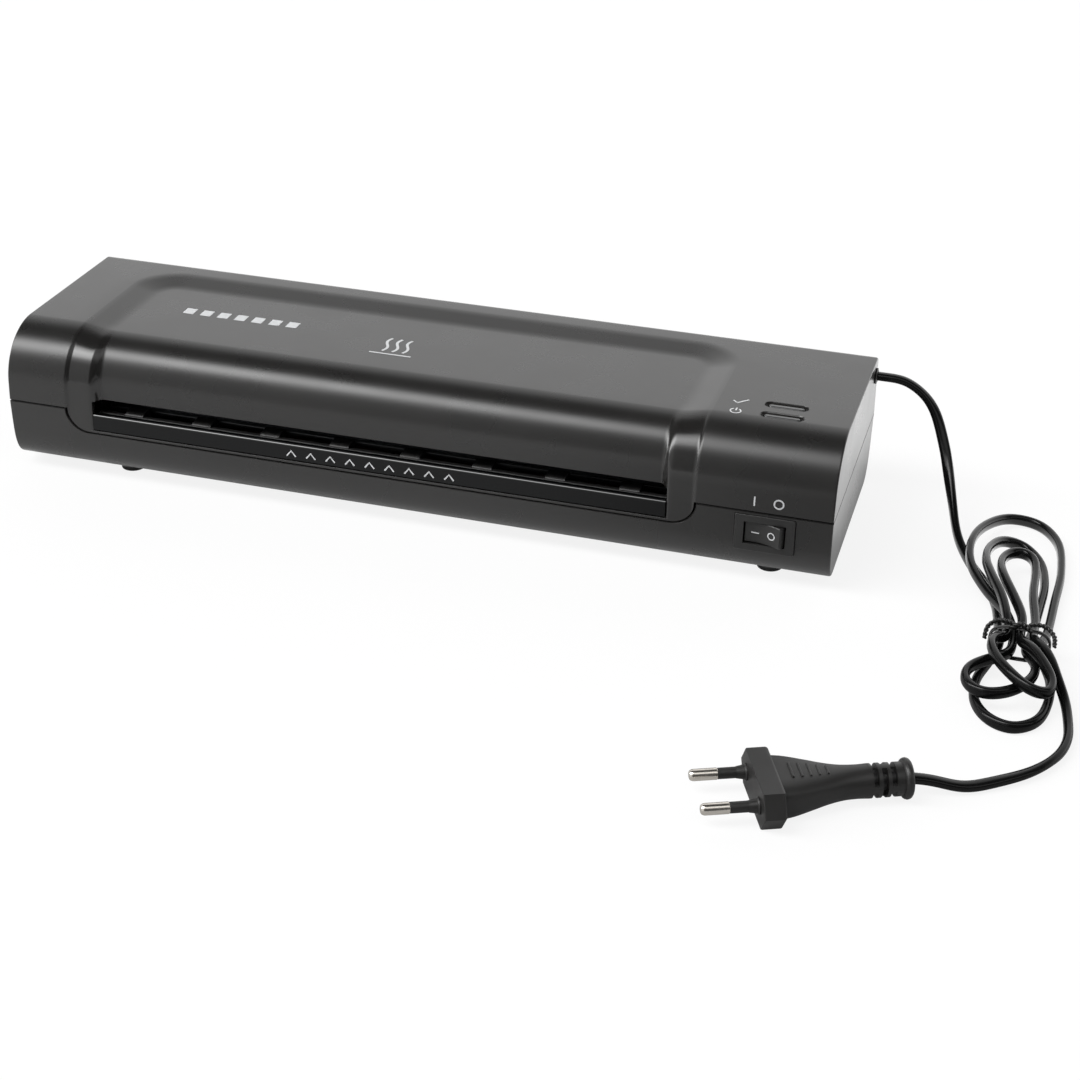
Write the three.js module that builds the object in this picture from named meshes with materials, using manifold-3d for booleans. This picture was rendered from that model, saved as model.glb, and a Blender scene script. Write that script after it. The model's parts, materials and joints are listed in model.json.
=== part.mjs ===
// Pouch laminator for A4 pouches: a two-part plastic case with an infeed slot along its front, heater plates
// and two rubber rollers inside, a gear motor, a rocker switch, two indicator windows, and a mains cord.
//
// Units are millimetres. X runs along the machine, to the right as the user faces it. Y runs from the infeed
// side (front, -Y) to the exit side (back, +Y). Z is up. The origin is the centre of the base's flat
// underside, so the feet reach below z = 0.

import * as THREE from "three";
import { mergeVertices } from "three/addons/utils/BufferGeometryUtils.js";
import Module from "manifold-3d";

const wasm = await Module();
wasm.setup();

// ---------------------------------------------------------------- driving dimensions
const LENGTH = 338; // case length
const DEPTH = 100; // case depth at the parting line
const BACK_HEIGHT = 54; // underside to the top's back edge
const FRONT_HEIGHT = 55.7; // the top rises towards the front to this height
const PARTING_Z = 27; // where the top cover meets the base
const WALL = 2.2; // shell thickness
const GAP = 0.3; // clearance between neighbouring pieces
const FOOT_DROP = 4.2; // the feet's soles lie this far under the base

const SLOT_X = -13.5; // the slot's centre, left of the case's centre to leave room for the motor
const SLOT_WIDTH = 238; // room for a 230 mm wide A4 pouch
const SLOT_TOP_Z = 30.7;
const SLOT_LIP_Z = 25.5; // the lower lip that a pouch slides over
const PATH_Z = (SLOT_TOP_Z + SLOT_LIP_Z) / 2; // height of the pouch path
const APRON_BOTTOM_Z = 17.3; // the cover's front reaches down to here around the slot
const APRON_WIDTH = 260; // outside the two legs
const APRON_CORNER = 9.5;

const RECESS_BACK_Y = 35; // back edge of the sunken panel on the top
const RECESS_CORNER = 20;
const RECESS_BAND = 10.5; // width of the ramp round the sunken panel
const RECESS_DEPTH = 2;
const LEG_STEP = 0.8; // the legs beside the slot lie this far under the case's surface
const LEG_WIDTH = (APRON_WIDTH - SLOT_WIDTH) / 2;
const LEG_WALL = 2.5; // run of the steep wall from a leg back to the front panel
const PANEL_DEPTH = 5.2; // how far the front panel stands back at the slot's top edge

const ROLLER_Y = 16;
const ROLLER_SPACING = 19; // between the two roller axes, equal to the roller gears' pitch diameter
const ROLLER_RADIUS = ROLLER_SPACING / 2 - GAP / 2;
const SHAFT_RADIUS = 3;
const LOWER_ROLLER_Z = PATH_Z - ROLLER_SPACING / 2;
const UPPER_ROLLER_Z = PATH_Z + ROLLER_SPACING / 2;
const BORE_RADIUS = SHAFT_RADIUS + GAP;

const MODULE = 1; // gear module
const ROLLER_TEETH = 19;
const PINION_TEETH = 15;
const GEAR_WIDTH = 5;
const BACKLASH = 0.24;
const PINION_OFFSET_Y = -15.4; // motor axis from the lower roller's axis
const PINION_OFFSET_Z = 7.2;

const FRAME_LEFT_X = -137; // inner faces of the two side frames
const FRAME_RIGHT_X = 110;
const FRAME_SHEET = 1.2;
const FRAME_TOP_Z = 48.4;
const FRAME_FLOOR_Z = 8.3; // the frames' feet rest on bosses of the base
const BUSH_SIZE = 11;
const BUSH_WIDTH = 4;
const BUSH_TRAVEL = 0.8; // how far a pouch lifts the upper roller

const SWITCH_X = 143.6;
const SWITCH_Z = 18.2;
const BEZEL_WIDTH = 23;
const BEZEL_HEIGHT = 15;
const ROCKER_WIDTH = 15.6;
const ROCKER_HEIGHT = 8.6;
const ROCKER_AXIS_Y = -47.5;
const ROCKER_TILT = 0.2; // half the rocker's swing, in radians

const WINDOW_X = 143;
const READY_Y = -15.3;
const POWER_Y = -24.8;
const CORD_RADIUS = 2.1;
const CORD_EXIT = new THREE.Vector3(LENGTH / 2, 40.5, 47.4);
const GROMMET_RADIUS = 2.8;
const HANK = new THREE.Vector3(241.5, -72, 0); // where the tie holds the coiled cord
const PLUG_FACE = new THREE.Vector3(167.9, -188.3, -FOOT_DROP + 6.9);
const PLUG_TURN = THREE.MathUtils.degToRad(204.1); // the pins' direction, counted from +X
const PLUG_LENGTH = 52;

// ---------------------------------------------------------------- materials
function finish(color, roughness, metalness = 0) {
  return new THREE.MeshStandardMaterial({ color, roughness, metalness });
}
const MATERIALS = {
  case: finish(0x2f2f31, 0.55),
  gloss: finish(0x0b0c0e, 0.12),
  switch: finish(0x1c1c1e, 0.4),
  lens: finish(0x16181a, 0.2),
  rubber: finish(0x101010, 0.9),
  pvc: finish(0x121213, 0.45),
  nickel: finish(0xcfc8bd, 0.25, 1),
  steel: finish(0xa9adb2, 0.4, 1),
  aluminium: finish(0x44474a, 0.35, 1),
  silicone: finish(0xb5452f, 0.7),
  nylon: finish(0xe4e0d4, 0.6),
  board: finish(0x1f6b3a, 0.5),
  ceramic: finish(0xd8c9a8, 0.8),
  dark: finish(0x222224, 0.6),
};

// ---------------------------------------------------------------- building blocks
const X = new THREE.Vector3(1, 0, 0);
const Y = new THREE.Vector3(0, 1, 0);
const Z = new THREE.Vector3(0, 0, 1);
const point = (a, b) => new THREE.Vector2(a, b);
const clamp01 = (value) => Math.min(1, Math.max(0, value));

// A closed geometry as a manifold-3d solid, for joins and cuts.
function solid(geometry) {
  const bare = geometry.clone();
  bare.deleteAttribute("normal");
  bare.deleteAttribute("uv");
  const merged = mergeVertices(bare, 1e-4);
  const mesh = new wasm.Mesh({
    numProp: 3,
    vertProperties: new Float32Array(merged.attributes.position.array),
    triVerts: new Uint32Array(merged.index.array),
  });
  return new wasm.Manifold(mesh);
}

// A manifold-3d solid as a geometry again, with flat shading.
function geometryOf(manifold) {
  const mesh = manifold.getMesh();
  const indexed = new THREE.BufferGeometry();
  indexed.setAttribute("position", new THREE.BufferAttribute(mesh.vertProperties, 3));
  indexed.setIndex(new THREE.BufferAttribute(mesh.triVerts, 1));
  const flat = indexed.toNonIndexed();
  flat.computeVertexNormals();
  return flat;
}

const join = (first, ...others) => others.reduce((sum, other) => sum.add(other), first);
const cut = (first, ...others) => others.reduce((rest, other) => rest.subtract(other), first);

function box(x0, x1, y0, y1, z0, z1) {
  const shape = new THREE.BoxGeometry(x1 - x0, y1 - y0, z1 - z0);
  return solid(shape.translate((x0 + x1) / 2, (y0 + y1) / 2, (z0 + z1) / 2));
}

// A box given by its centre and its size.
const centredBox = ([x, y, z], [width, depth, height]) =>
  box(x - width / 2, x + width / 2, y - depth / 2, y + depth / 2, z - height / 2, z + height / 2);

// A flat outline pushed out along one axis. alongX takes (y, z) outlines, alongY (x, z) and alongZ (x, y).
function extrude(shape, depth, curveSegments = 8) {
  return new THREE.ExtrudeGeometry(shape, { depth, bevelEnabled: false, curveSegments });
}
function alongX(shape, x0, x1, segments) {
  const turn = new THREE.Matrix4().makeBasis(Y, Z, X).setPosition(x0, 0, 0);
  return solid(extrude(shape, x1 - x0, segments).applyMatrix4(turn));
}
function alongY(shape, y0, y1, segments) {
  const turn = new THREE.Matrix4().makeBasis(X, Z, Y.clone().negate()).setPosition(0, y1, 0);
  return solid(extrude(shape, y1 - y0, segments).applyMatrix4(turn));
}
function alongZ(shape, z0, z1, segments) {
  return solid(extrude(shape, z1 - z0, segments).translate(0, 0, z0));
}

const polygon = (points) => new THREE.Shape(points.map(([a, b]) => point(a, b)));

function roundedRectangle(centreA, centreB, width, height, radius) {
  const shape = new THREE.Shape();
  const [a, b] = [width / 2 - radius, height / 2 - radius];
  shape.absarc(centreA + a, centreB - b, radius, -Math.PI / 2, 0);
  shape.absarc(centreA + a, centreB + b, radius, 0, Math.PI / 2);
  shape.absarc(centreA - a, centreB + b, radius, Math.PI / 2, Math.PI);
  shape.absarc(centreA - a, centreB - b, radius, Math.PI, Math.PI * 1.5);
  shape.closePath();
  return shape;
}

// Round bars, by their axis.
function bar(radius, length, sides) {
  return new THREE.CylinderGeometry(radius, radius, length, sides);
}
const barX = (radius, x0, x1, y, z, sides = 24) =>
  solid(bar(radius, x1 - x0, sides).rotateZ(Math.PI / 2).translate((x0 + x1) / 2, y, z));
const barZ = (radius, z0, z1, x, y, sides = 20) =>
  solid(bar(radius, z1 - z0, sides).rotateX(Math.PI / 2).translate(x, y, (z0 + z1) / 2));

// A closed skin through rings of equally many points, each ring going the same way round. A ring is a list of
// Vector3. The first and last rings are closed by fans of triangles from their middle.
function skin(rings) {
  const count = rings[0].length;
  const positions = rings.flat().flatMap((p) => [p.x, p.y, p.z]);
  const index = [];
  for (let ring = 0; ring + 1 < rings.length; ring++) {
    for (let k = 0; k < count; k++) {
      const next = (k + 1) % count;
      const [a, b] = [ring * count + k, ring * count + next];
      index.push(a, b, b + count, a, b + count, a + count);
    }
  }
  const caps = [
    [rings[0], 0, true],
    [rings.at(-1), (rings.length - 1) * count, false],
  ];
  for (const [ring, start, turned] of caps) {
    const centre = positions.length / 3;
    const middle = ring.reduce((sum, p) => sum.add(p), new THREE.Vector3()).divideScalar(count);
    positions.push(middle.x, middle.y, middle.z);
    for (let k = 0; k < count; k++) {
      const [a, b] = [start + k, start + ((k + 1) % count)];
      index.push(centre, ...(turned ? [b, a] : [a, b]));
    }
  }
  const geometry = new THREE.BufferGeometry();
  geometry.setAttribute("position", new THREE.Float32BufferAttribute(positions, 3));
  geometry.setIndex(index);
  return geometry;
}

// A round bar bent along a curve.
function wire(curve, radius, steps, sides = 6) {
  const shape = new THREE.Shape();
  shape.absarc(0, 0, radius, 0, Math.PI * 2);
  const options = { steps, extrudePath: curve, curveSegments: sides, bevelEnabled: false };
  return new THREE.ExtrudeGeometry(shape, options);
}

const laminator = new THREE.Group();

// Adds one named piece. The piece is a manifold-3d solid or a geometry.
function piece(name, material, shape, group = laminator) {
  const geometry = shape.isBufferGeometry ? shape : geometryOf(shape);
  const mesh = new THREE.Mesh(geometry, MATERIALS[material]);
  mesh.name = name;
  group.add(mesh);
  return mesh;
}

// ---------------------------------------------------------------- the case's outline, in (y, z)
const HALF_DEPTH = DEPTH / 2;
const HALF_LENGTH = LENGTH / 2;
const TOP_BACK_Y = 46.3; // the back leans in to here at the top
const TOP_BACK_FLAT_Y = TOP_BACK_Y - 3.6; // the flat top begins here
const TOP_FRONT_Y = -27; // the flat top ends here and the front curve begins
const FRONT_CURVE_Z = 34; // the front curve ends here
const FRONT_Y = -49.6;

// The height of the flat top, which slopes down towards the back.
function topZ(y) {
  return THREE.MathUtils.mapLinear(y, TOP_BACK_FLAT_Y, TOP_FRONT_Y, BACK_HEIGHT, FRONT_HEIGHT);
}

// Points of the upper shell's outline, from the parting line at the back, over the top, to the front.
// flatRows are the y values wanted along the flat top.
function upperOutline(flatRows) {
  const backCorner = new THREE.QuadraticBezierCurve(
    point(TOP_BACK_Y, BACK_HEIGHT - 3.2),
    point(TOP_BACK_Y - 0.5, BACK_HEIGHT),
    point(TOP_BACK_FLAT_Y, BACK_HEIGHT),
  );
  const frontCurve = new THREE.EllipseCurve(
    TOP_FRONT_Y,
    FRONT_CURVE_Z,
    TOP_FRONT_Y - FRONT_Y,
    FRONT_HEIGHT - FRONT_CURVE_Z,
    Math.PI / 2,
    Math.PI,
  );
  return [
    point(HALF_DEPTH, PARTING_Z),
    ...backCorner.getPoints(4),
    ...flatRows.map((y) => point(y, topZ(y))),
    ...frontCurve.getPoints(14),
    point(-49.8, SLOT_TOP_Z),
    point(-HALF_DEPTH, PARTING_Z),
  ];
}

// Points of the base's outline, from the parting line at the front, under the base, to the back.
function lowerOutline() {
  const front = [point(-49.3, 14), point(-48.5, 5), point(-46, 0), point(-38, 0)];
  const back = [point(36, 0), point(42, 0), point(46, 4), point(47.5, 12)];
  return [
    point(-HALF_DEPTH, PARTING_Z),
    ...new THREE.CubicBezierCurve(...front).getPoints(8),
    ...new THREE.CubicBezierCurve(...back).getPoints(8),
    point(HALF_DEPTH, PARTING_Z),
  ];
}

// The unit vector into the case at each point of an outline that runs counter-clockwise.
function inwardNormals(outline) {
  return outline.map((p, i) => {
    const before = outline[Math.max(0, i - 1)];
    const after = outline[Math.min(outline.length - 1, i + 1)];
    const along = after.clone().sub(before).normalize();
    return point(-along.y, along.x);
  });
}

const inset = (outline, distance) => {
  const normals = inwardNormals(outline);
  return outline.map((p, i) => p.clone().addScaledVector(normals[i], distance));
};

// ---------------------------------------------------------------- top cover
// How far the cover's surface is sunk at a point: a shallow panel with a ramp round it on the top, which runs
// over the front into the two legs and the set-back panel above the slot.
function recessDepth(x, y, z) {
  const side = APRON_WIDTH / 2 - Math.abs(x - SLOT_X);
  const back = RECESS_BACK_Y - y;
  const inCorner = side < RECESS_CORNER && back < RECESS_CORNER;
  const inward = inCorner
    ? RECESS_CORNER - Math.hypot(RECESS_CORNER - side, RECESS_CORNER - back)
    : Math.min(side, back);
  const onTop = RECESS_DEPTH * clamp01(inward / RECESS_BAND);
  const fall = clamp01((FRONT_HEIGHT - z) / (FRONT_HEIGHT - SLOT_TOP_Z));
  const panel = THREE.MathUtils.lerp(RECESS_DEPTH, PANEL_DEPTH, fall);
  const onFront = LEG_STEP * clamp01(inward) + (panel - LEG_STEP) * clamp01((inward - LEG_WIDTH) / LEG_WALL);
  return THREE.MathUtils.lerp(onTop, onFront, clamp01((TOP_FRONT_Y - y) / 15));
}

// Where the skins have their rows along the flat top, and their columns inward from the apron's edges.
const OUTER_GRID = {
  rows: [38, 35, 33, 31, 28.5, 26, 24.5, 22, 19, 16, 13, 0, -14],
  stations: [0, 1, 3.5, 6, 8.5, LEG_WIDTH, 12.2, LEG_WIDTH + LEG_WALL, 16, 19, 22],
};
const INNER_GRID = {
  rows: [35, 30, 24.5, 18, 0],
  stations: [0, 5, LEG_WIDTH, LEG_WIDTH + LEG_WALL, 20],
};

// The cover's skin, sunk by the recess and a further distance, between two ends. It reaches under the parting
// line, where the cover is cut off.
function coverSkin(further, endX, grid) {
  const floorZ = PARTING_Z - 10;
  const outline = upperOutline(grid.rows);
  const normals = inwardNormals(outline);
  const left = grid.stations.map((inward) => SLOT_X - APRON_WIDTH / 2 + inward);
  const right = grid.stations.map((inward) => SLOT_X + APRON_WIDTH / 2 - inward).reverse();
  const columns = [-endX, ...left, ...right, endX];
  const rings = columns.map((x) => {
    const ring = outline.map((p, i) => {
      const sunk = p.clone().addScaledVector(normals[i], further + recessDepth(x, p.x, p.y));
      return new THREE.Vector3(x, sunk.x, sunk.y);
    });
    const first = ring[0];
    const last = ring[ring.length - 1];
    return [new THREE.Vector3(x, first.y, floorZ), ...ring, new THREE.Vector3(x, last.y, floorZ)];
  });
  return solid(skin(rings));
}

// The U-shaped front of the cover below the parting line, in (x, z), grown by a clearance.
function apronOutline(grow, topZ) {
  const half = APRON_WIDTH / 2 + grow;
  const bottom = APRON_BOTTOM_Z - grow;
  const radius = APRON_CORNER + grow;
  const shape = new THREE.Shape();
  shape.moveTo(SLOT_X - half, topZ);
  shape.lineTo(SLOT_X - half, bottom + radius);
  shape.absarc(SLOT_X - half + radius, bottom + radius, radius, Math.PI, Math.PI * 1.5);
  shape.absarc(SLOT_X + half - radius, bottom + radius, radius, Math.PI * 1.5, Math.PI * 2);
  shape.lineTo(SLOT_X + half, topZ);
  shape.closePath();
  return shape;
}

const SLOT_LEFT = SLOT_X - SLOT_WIDTH / 2;
const SLOT_RIGHT = SLOT_X + SLOT_WIDTH / 2;
const EXIT_TOP_Z = 31;
const EXIT_BOTTOM_Z = 25.2;
const CASE_SCREWS = [
  ["front_left", -156, -37],
  ["front_right", 160, -37],
  ["rear_left", -156, 38],
  ["rear_right", 147, 38],
];

function topCover() {
  const edgeZ = PARTING_Z + GAP / 2;
  const below = box(-HALF_LENGTH - 1, HALF_LENGTH + 1, -HALF_DEPTH - 5, HALF_DEPTH + 5, 0, edgeZ);
  const inside = coverSkin(WALL, HALF_LENGTH - WALL, INNER_GRID);
  const shell = cut(coverSkin(0, HALF_LENGTH, OUTER_GRID), inside, below);
  const apronFront = -HALF_DEPTH + LEG_STEP;
  const apron = alongY(apronOutline(0, SLOT_TOP_Z + 2), apronFront, apronFront + WALL, 6);
  const bosses = CASE_SCREWS.map(([, x, y]) => barZ(4, edgeZ, y > 0 ? 52.5 : 49.8, x, y, 10));
  const pilots = CASE_SCREWS.map(([, x, y]) => barZ(1.5 + GAP, PARTING_Z - 1, 38, x, y, 8));
  const stripPocketZ = APRON_BOTTOM_Z + 1;
  const slot = box(SLOT_LEFT, SLOT_RIGHT, -HALF_DEPTH - 2, -40, stripPocketZ, SLOT_TOP_Z);
  const exit = box(SLOT_LEFT, SLOT_RIGHT, 40, HALF_DEPTH + 2, PARTING_Z - 1, EXIT_TOP_Z);
  const windows = [READY_Y, POWER_Y].flatMap((y) => [
    alongZ(roundedRectangle(WINDOW_X, y, 17, 5.4, 2.69), topZ(y) - 0.7, topZ(y) + 1, 4),
    alongZ(roundedRectangle(WINDOW_X, y, 14.6, 3, 1.49), topZ(y) - 4, topZ(y) + 1, 3),
  ]);
  const { y: cordY, z: cordZ } = CORD_EXIT;
  const cordHole = barX(GROMMET_RADIUS + GAP, HALF_LENGTH - 6, HALF_LENGTH + 2, cordY, cordZ, 20);
  return cut(join(shell, apron, ...bosses), ...pilots, slot, exit, ...windows, cordHole);
}

// ---------------------------------------------------------------- base
const FEET = [
  ["front_left", -124, -33],
  ["front_right", 144, -33],
  ["rear_left", -124, 33],
  ["rear_right", 144, 33],
];
const COUNTERBORE_TOP_Z = 14;
const FRAME_SCREW_INSET = 6; // from a frame's inner face
const FRAME_SCREWS = [
  ["left_front", FRAME_LEFT_X + FRAME_SCREW_INSET, -25],
  ["left_rear", FRAME_LEFT_X + FRAME_SCREW_INSET, 31],
  ["right_front", FRAME_RIGHT_X - FRAME_SCREW_INSET, -25],
  ["right_rear", FRAME_RIGHT_X - FRAME_SCREW_INSET, 31],
];

function baseCase() {
  const outline = lowerOutline();
  const inner = inset(outline, WALL);
  inner[0].y = PARTING_Z + 5;
  inner[inner.length - 1].y = PARTING_Z + 5;
  const top = PARTING_Z - GAP / 2;
  const outer = cut(
    alongX(new THREE.Shape(outline), -HALF_LENGTH, HALF_LENGTH),
    box(-HALF_LENGTH - 1, HALF_LENGTH + 1, -60, 60, top, PARTING_Z + 3),
  );
  const cavity = alongX(new THREE.Shape(inner), -HALF_LENGTH + WALL, HALF_LENGTH - WALL);
  const footRings = FEET.map(([, x, y]) => barZ(6.5, -1.8, 1, x, y, 20));
  const footSockets = FEET.map(([, x, y]) => barZ(5.2 + GAP, -3, 1, x, y, 20));
  const bosses = CASE_SCREWS.map(([, x, y]) => barZ(4.9, 1, top, x, y, 12));
  const counterbores = CASE_SCREWS.map(([, x, y]) => barZ(3.6, -1, COUNTERBORE_TOP_Z, x, y, 12));
  const screwHoles = CASE_SCREWS.map(([, x, y]) => barZ(1.5 + GAP, 10, top + 2, x, y, 8));
  const frameBosses = FRAME_SCREWS.map(([, x, y]) => barZ(4, 1, FRAME_FLOOR_Z - GAP, x, y, 10));
  const framePilots = FRAME_SCREWS.map(([, x, y]) => barZ(1.5 + GAP, 3, FRAME_FLOOR_Z + 1, x, y, 8));
  const notch = alongY(apronOutline(GAP, PARTING_Z + 4), -HALF_DEPTH - 2, -HALF_DEPTH + WALL + 3, 6);
  const exit = box(SLOT_LEFT, SLOT_RIGHT, 40, HALF_DEPTH + 2, EXIT_BOTTOM_Z, PARTING_Z + 1);
  const switchSize = [BEZEL_WIDTH - 3 + GAP, 12, BEZEL_HEIGHT - 3 + GAP];
  const switchHole = centredBox([SWITCH_X, -48, SWITCH_Z], switchSize);
  const ventColumns = Array.from({ length: 7 }, (_, i) => SLOT_X + (i - 3) * 26);
  const vents = ventColumns.flatMap((x) => [-22, 24].map((y) => centredBox([x, y, 1], [3.2, 20, 6])));
  const shell = cut(join(outer, ...footRings), cavity);
  const fitted = join(shell, ...bosses, ...frameBosses);
  const drilled = cut(fitted, ...footSockets, ...counterbores, ...screwHoles, ...framePilots);
  return cut(drilled, notch, exit, switchHole, ...vents);
}

function foot(x, y) {
  const profile = [
    point(0, -FOOT_DROP),
    point(4.7, -FOOT_DROP),
    point(5.2, -FOOT_DROP + 0.6),
    point(5.2, 0.7),
    point(0, 0.7),
  ];
  const turned = new THREE.LatheGeometry(profile, 20);
  return turned.rotateX(Math.PI / 2).translate(x, y, 0);
}

// The glossy strip under the slot, whose bevelled top edge is the lip that a pouch slides over.
function frontTrim() {
  const bottom = APRON_BOTTOM_Z + 1 + GAP;
  const profile = polygon([
    [-45.2, bottom],
    [-45.2, SLOT_LIP_Z - 0.6],
    [-46.4, SLOT_LIP_Z],
    [-48.1, SLOT_LIP_Z],
    [-49.1, SLOT_LIP_Z - 1],
    [-49.1, bottom],
  ]);
  return alongX(profile, SLOT_LEFT + GAP, SLOT_RIGHT - GAP);
}

// ---------------------------------------------------------------- rocker switch and indicators
// A snap-in switch: a bezel over the case wall and a box behind it that holds the rocker.
function switchHousing() {
  const [fitWidth, fitHeight] = [BEZEL_WIDTH - 3 - GAP, BEZEL_HEIGHT - 3 - GAP];
  const bezel = centredBox([SWITCH_X, -50.6, SWITCH_Z], [BEZEL_WIDTH, 1, BEZEL_HEIGHT]);
  const body = box(
    SWITCH_X - fitWidth / 2,
    SWITCH_X + fitWidth / 2,
    -50.7,
    -32.5,
    SWITCH_Z - fitHeight / 2,
    SWITCH_Z + fitHeight / 2,
  );
  const openingSize = [ROCKER_WIDTH + 2 * GAP, 16, ROCKER_HEIGHT + 2 * GAP];
  const opening = centredBox([SWITCH_X, -46, SWITCH_Z], openingSize);
  const terminals = [-6, 0, 6].map((x) => centredBox([SWITCH_X + x, -29, SWITCH_Z], [0.8, 8, 4.8]));
  return cut(join(bezel, body, ...terminals), opening);
}

// The rocker about its own pivot: a shallow V in front that stands in the middle of its swing at angle 0. Its
// ends are arcs about the pivot, so they stay close to the opening as it swings.
function rockerShape() {
  const reach = ROCKER_WIDTH / 2 + 0.05;
  const edge = -3.4;
  const half = Math.sqrt(reach ** 2 - edge ** 2);
  const [edgeAngle, backAngle] = [Math.atan2(-edge, half), 0.2];
  const [stemHalf, stemEnd] = [2.6, 5.2];
  const profile = new THREE.Shape();
  profile.moveTo(-half, edge);
  profile.quadraticCurveTo(0, edge + 2.2, half, edge);
  profile.absarc(0, 0, reach, -edgeAngle, backAngle);
  profile.lineTo(stemHalf, stemEnd);
  profile.lineTo(-stemHalf, stemEnd);
  profile.absarc(0, 0, reach, Math.PI - backAngle, Math.PI + edgeAngle);
  profile.closePath();
  return alongZ(profile, -ROCKER_HEIGHT / 2, ROCKER_HEIGHT / 2, 8);
}

function indicatorLens(y) {
  const underWall = topZ(y) - WALL - 2 * GAP;
  const window = alongZ(roundedRectangle(WINDOW_X, y, 14, 2.4, 1.19), underWall - 0.2, topZ(y) - 1, 3);
  const flange = alongZ(roundedRectangle(WINDOW_X, y, 17.5, 5.6, 1), underWall - 1.3, underWall, 2);
  return join(window, flange);
}

// ---------------------------------------------------------------- rollers, gears and frames
// The outline of an involute spur gear with a tooth centred on an angle.
function gearOutline(teeth, phase) {
  const pitch = (MODULE * teeth) / 2;
  const pressure = THREE.MathUtils.degToRad(20);
  const base = pitch * Math.cos(pressure);
  const tip = pitch + 0.85 * MODULE;
  const root = pitch - 1.2 * MODULE;
  const involute = (angle) => Math.tan(angle) - angle;
  const halfTooth = (radius) => {
    const angle = Math.acos(Math.min(1, base / Math.max(radius, base)));
    return (Math.PI / 2 - BACKLASH / MODULE) / teeth + involute(pressure) - involute(angle);
  };
  const radii = [root, Math.max(base, root + 0.2), (base + 2 * tip) / 3, tip];
  const points = [];
  for (let tooth = 0; tooth < teeth; tooth++) {
    const centre = phase + (tooth * 2 * Math.PI) / teeth;
    const polar = (radius, angle) => point(radius * Math.cos(angle), radius * Math.sin(angle));
    points.push(...radii.map((radius) => polar(radius, centre - halfTooth(radius))));
    points.push(...radii.toReversed().map((radius) => polar(radius, centre + halfTooth(radius))));
  }
  return points;
}

const GEAR_X = FRAME_RIGHT_X + FRAME_SHEET + 2;
const MOTOR_Y = ROLLER_Y + PINION_OFFSET_Y;
const MOTOR_Z = LOWER_ROLLER_Z + PINION_OFFSET_Z;

function gear(teeth, phase, boreRadius, y, z) {
  const shape = new THREE.Shape(gearOutline(teeth, phase));
  const bore = new THREE.Path();
  bore.absarc(0, 0, boreRadius, 0, Math.PI * 2, true);
  shape.holes.push(bore);
  return alongX(shape, GEAR_X, GEAR_X + GEAR_WIDTH, 8).translate([0, y, z]);
}

// The pinion's tooth angle that puts it in mesh with the lower roller's gear, whose first tooth points up.
function pinionPhase() {
  const line = Math.atan2(PINION_OFFSET_Z, PINION_OFFSET_Y);
  const rollerPitch = (2 * Math.PI) / ROLLER_TEETH;
  const pinionPitch = (2 * Math.PI) / PINION_TEETH;
  const offset = (Math.PI / 2 - line) / rollerPitch;
  return line + Math.PI - offset * pinionPitch + pinionPitch / 2;
}

const ROLLER_LEFT = SLOT_LEFT + 2;
const ROLLER_RIGHT = SLOT_RIGHT - 2;

// A rubber sleeve on a steel shaft. The shaft ends in the bush on the left and carries its gear on the right.
const rollerSleeve = (z) =>
  cut(
    barX(ROLLER_RADIUS, ROLLER_LEFT, ROLLER_RIGHT, ROLLER_Y, z, 32),
    barX(BORE_RADIUS, ROLLER_LEFT - 1, ROLLER_RIGHT + 1, ROLLER_Y, z, 16),
  );
const SHAFT_LEFT = FRAME_LEFT_X - 4;
const SHAFT_RIGHT = GEAR_X + GEAR_WIDTH + 0.8;
const rollerShaft = (z) => barX(SHAFT_RADIUS, SHAFT_LEFT, SHAFT_RIGHT, ROLLER_Y, z, 16);

// A bush: a square block inside the frame with a boss through the frame's window. inner is the frame's inner
// face and side is +1 where the block lies on the +X side of it.
const BOSS_WIDTH = 8;
const BOSS_HEIGHT = 8.4;
function bush(inner, side, z) {
  const blockX = inner + side * (GAP + BUSH_WIDTH / 2);
  const [near, through] = [inner + side * GAP, inner - side * (FRAME_SHEET + 0.6)];
  const bossX = (near + through) / 2;
  const block = centredBox([blockX, ROLLER_Y, z], [BUSH_WIDTH, BUSH_SIZE, BUSH_SIZE]);
  const boss = centredBox([bossX, ROLLER_Y, z], [Math.abs(near - through), BOSS_WIDTH, BOSS_HEIGHT]);
  return cut(join(block, boss), barX(BORE_RADIUS, inner - 8, inner + 8, ROLLER_Y, z, 16));
}

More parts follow.
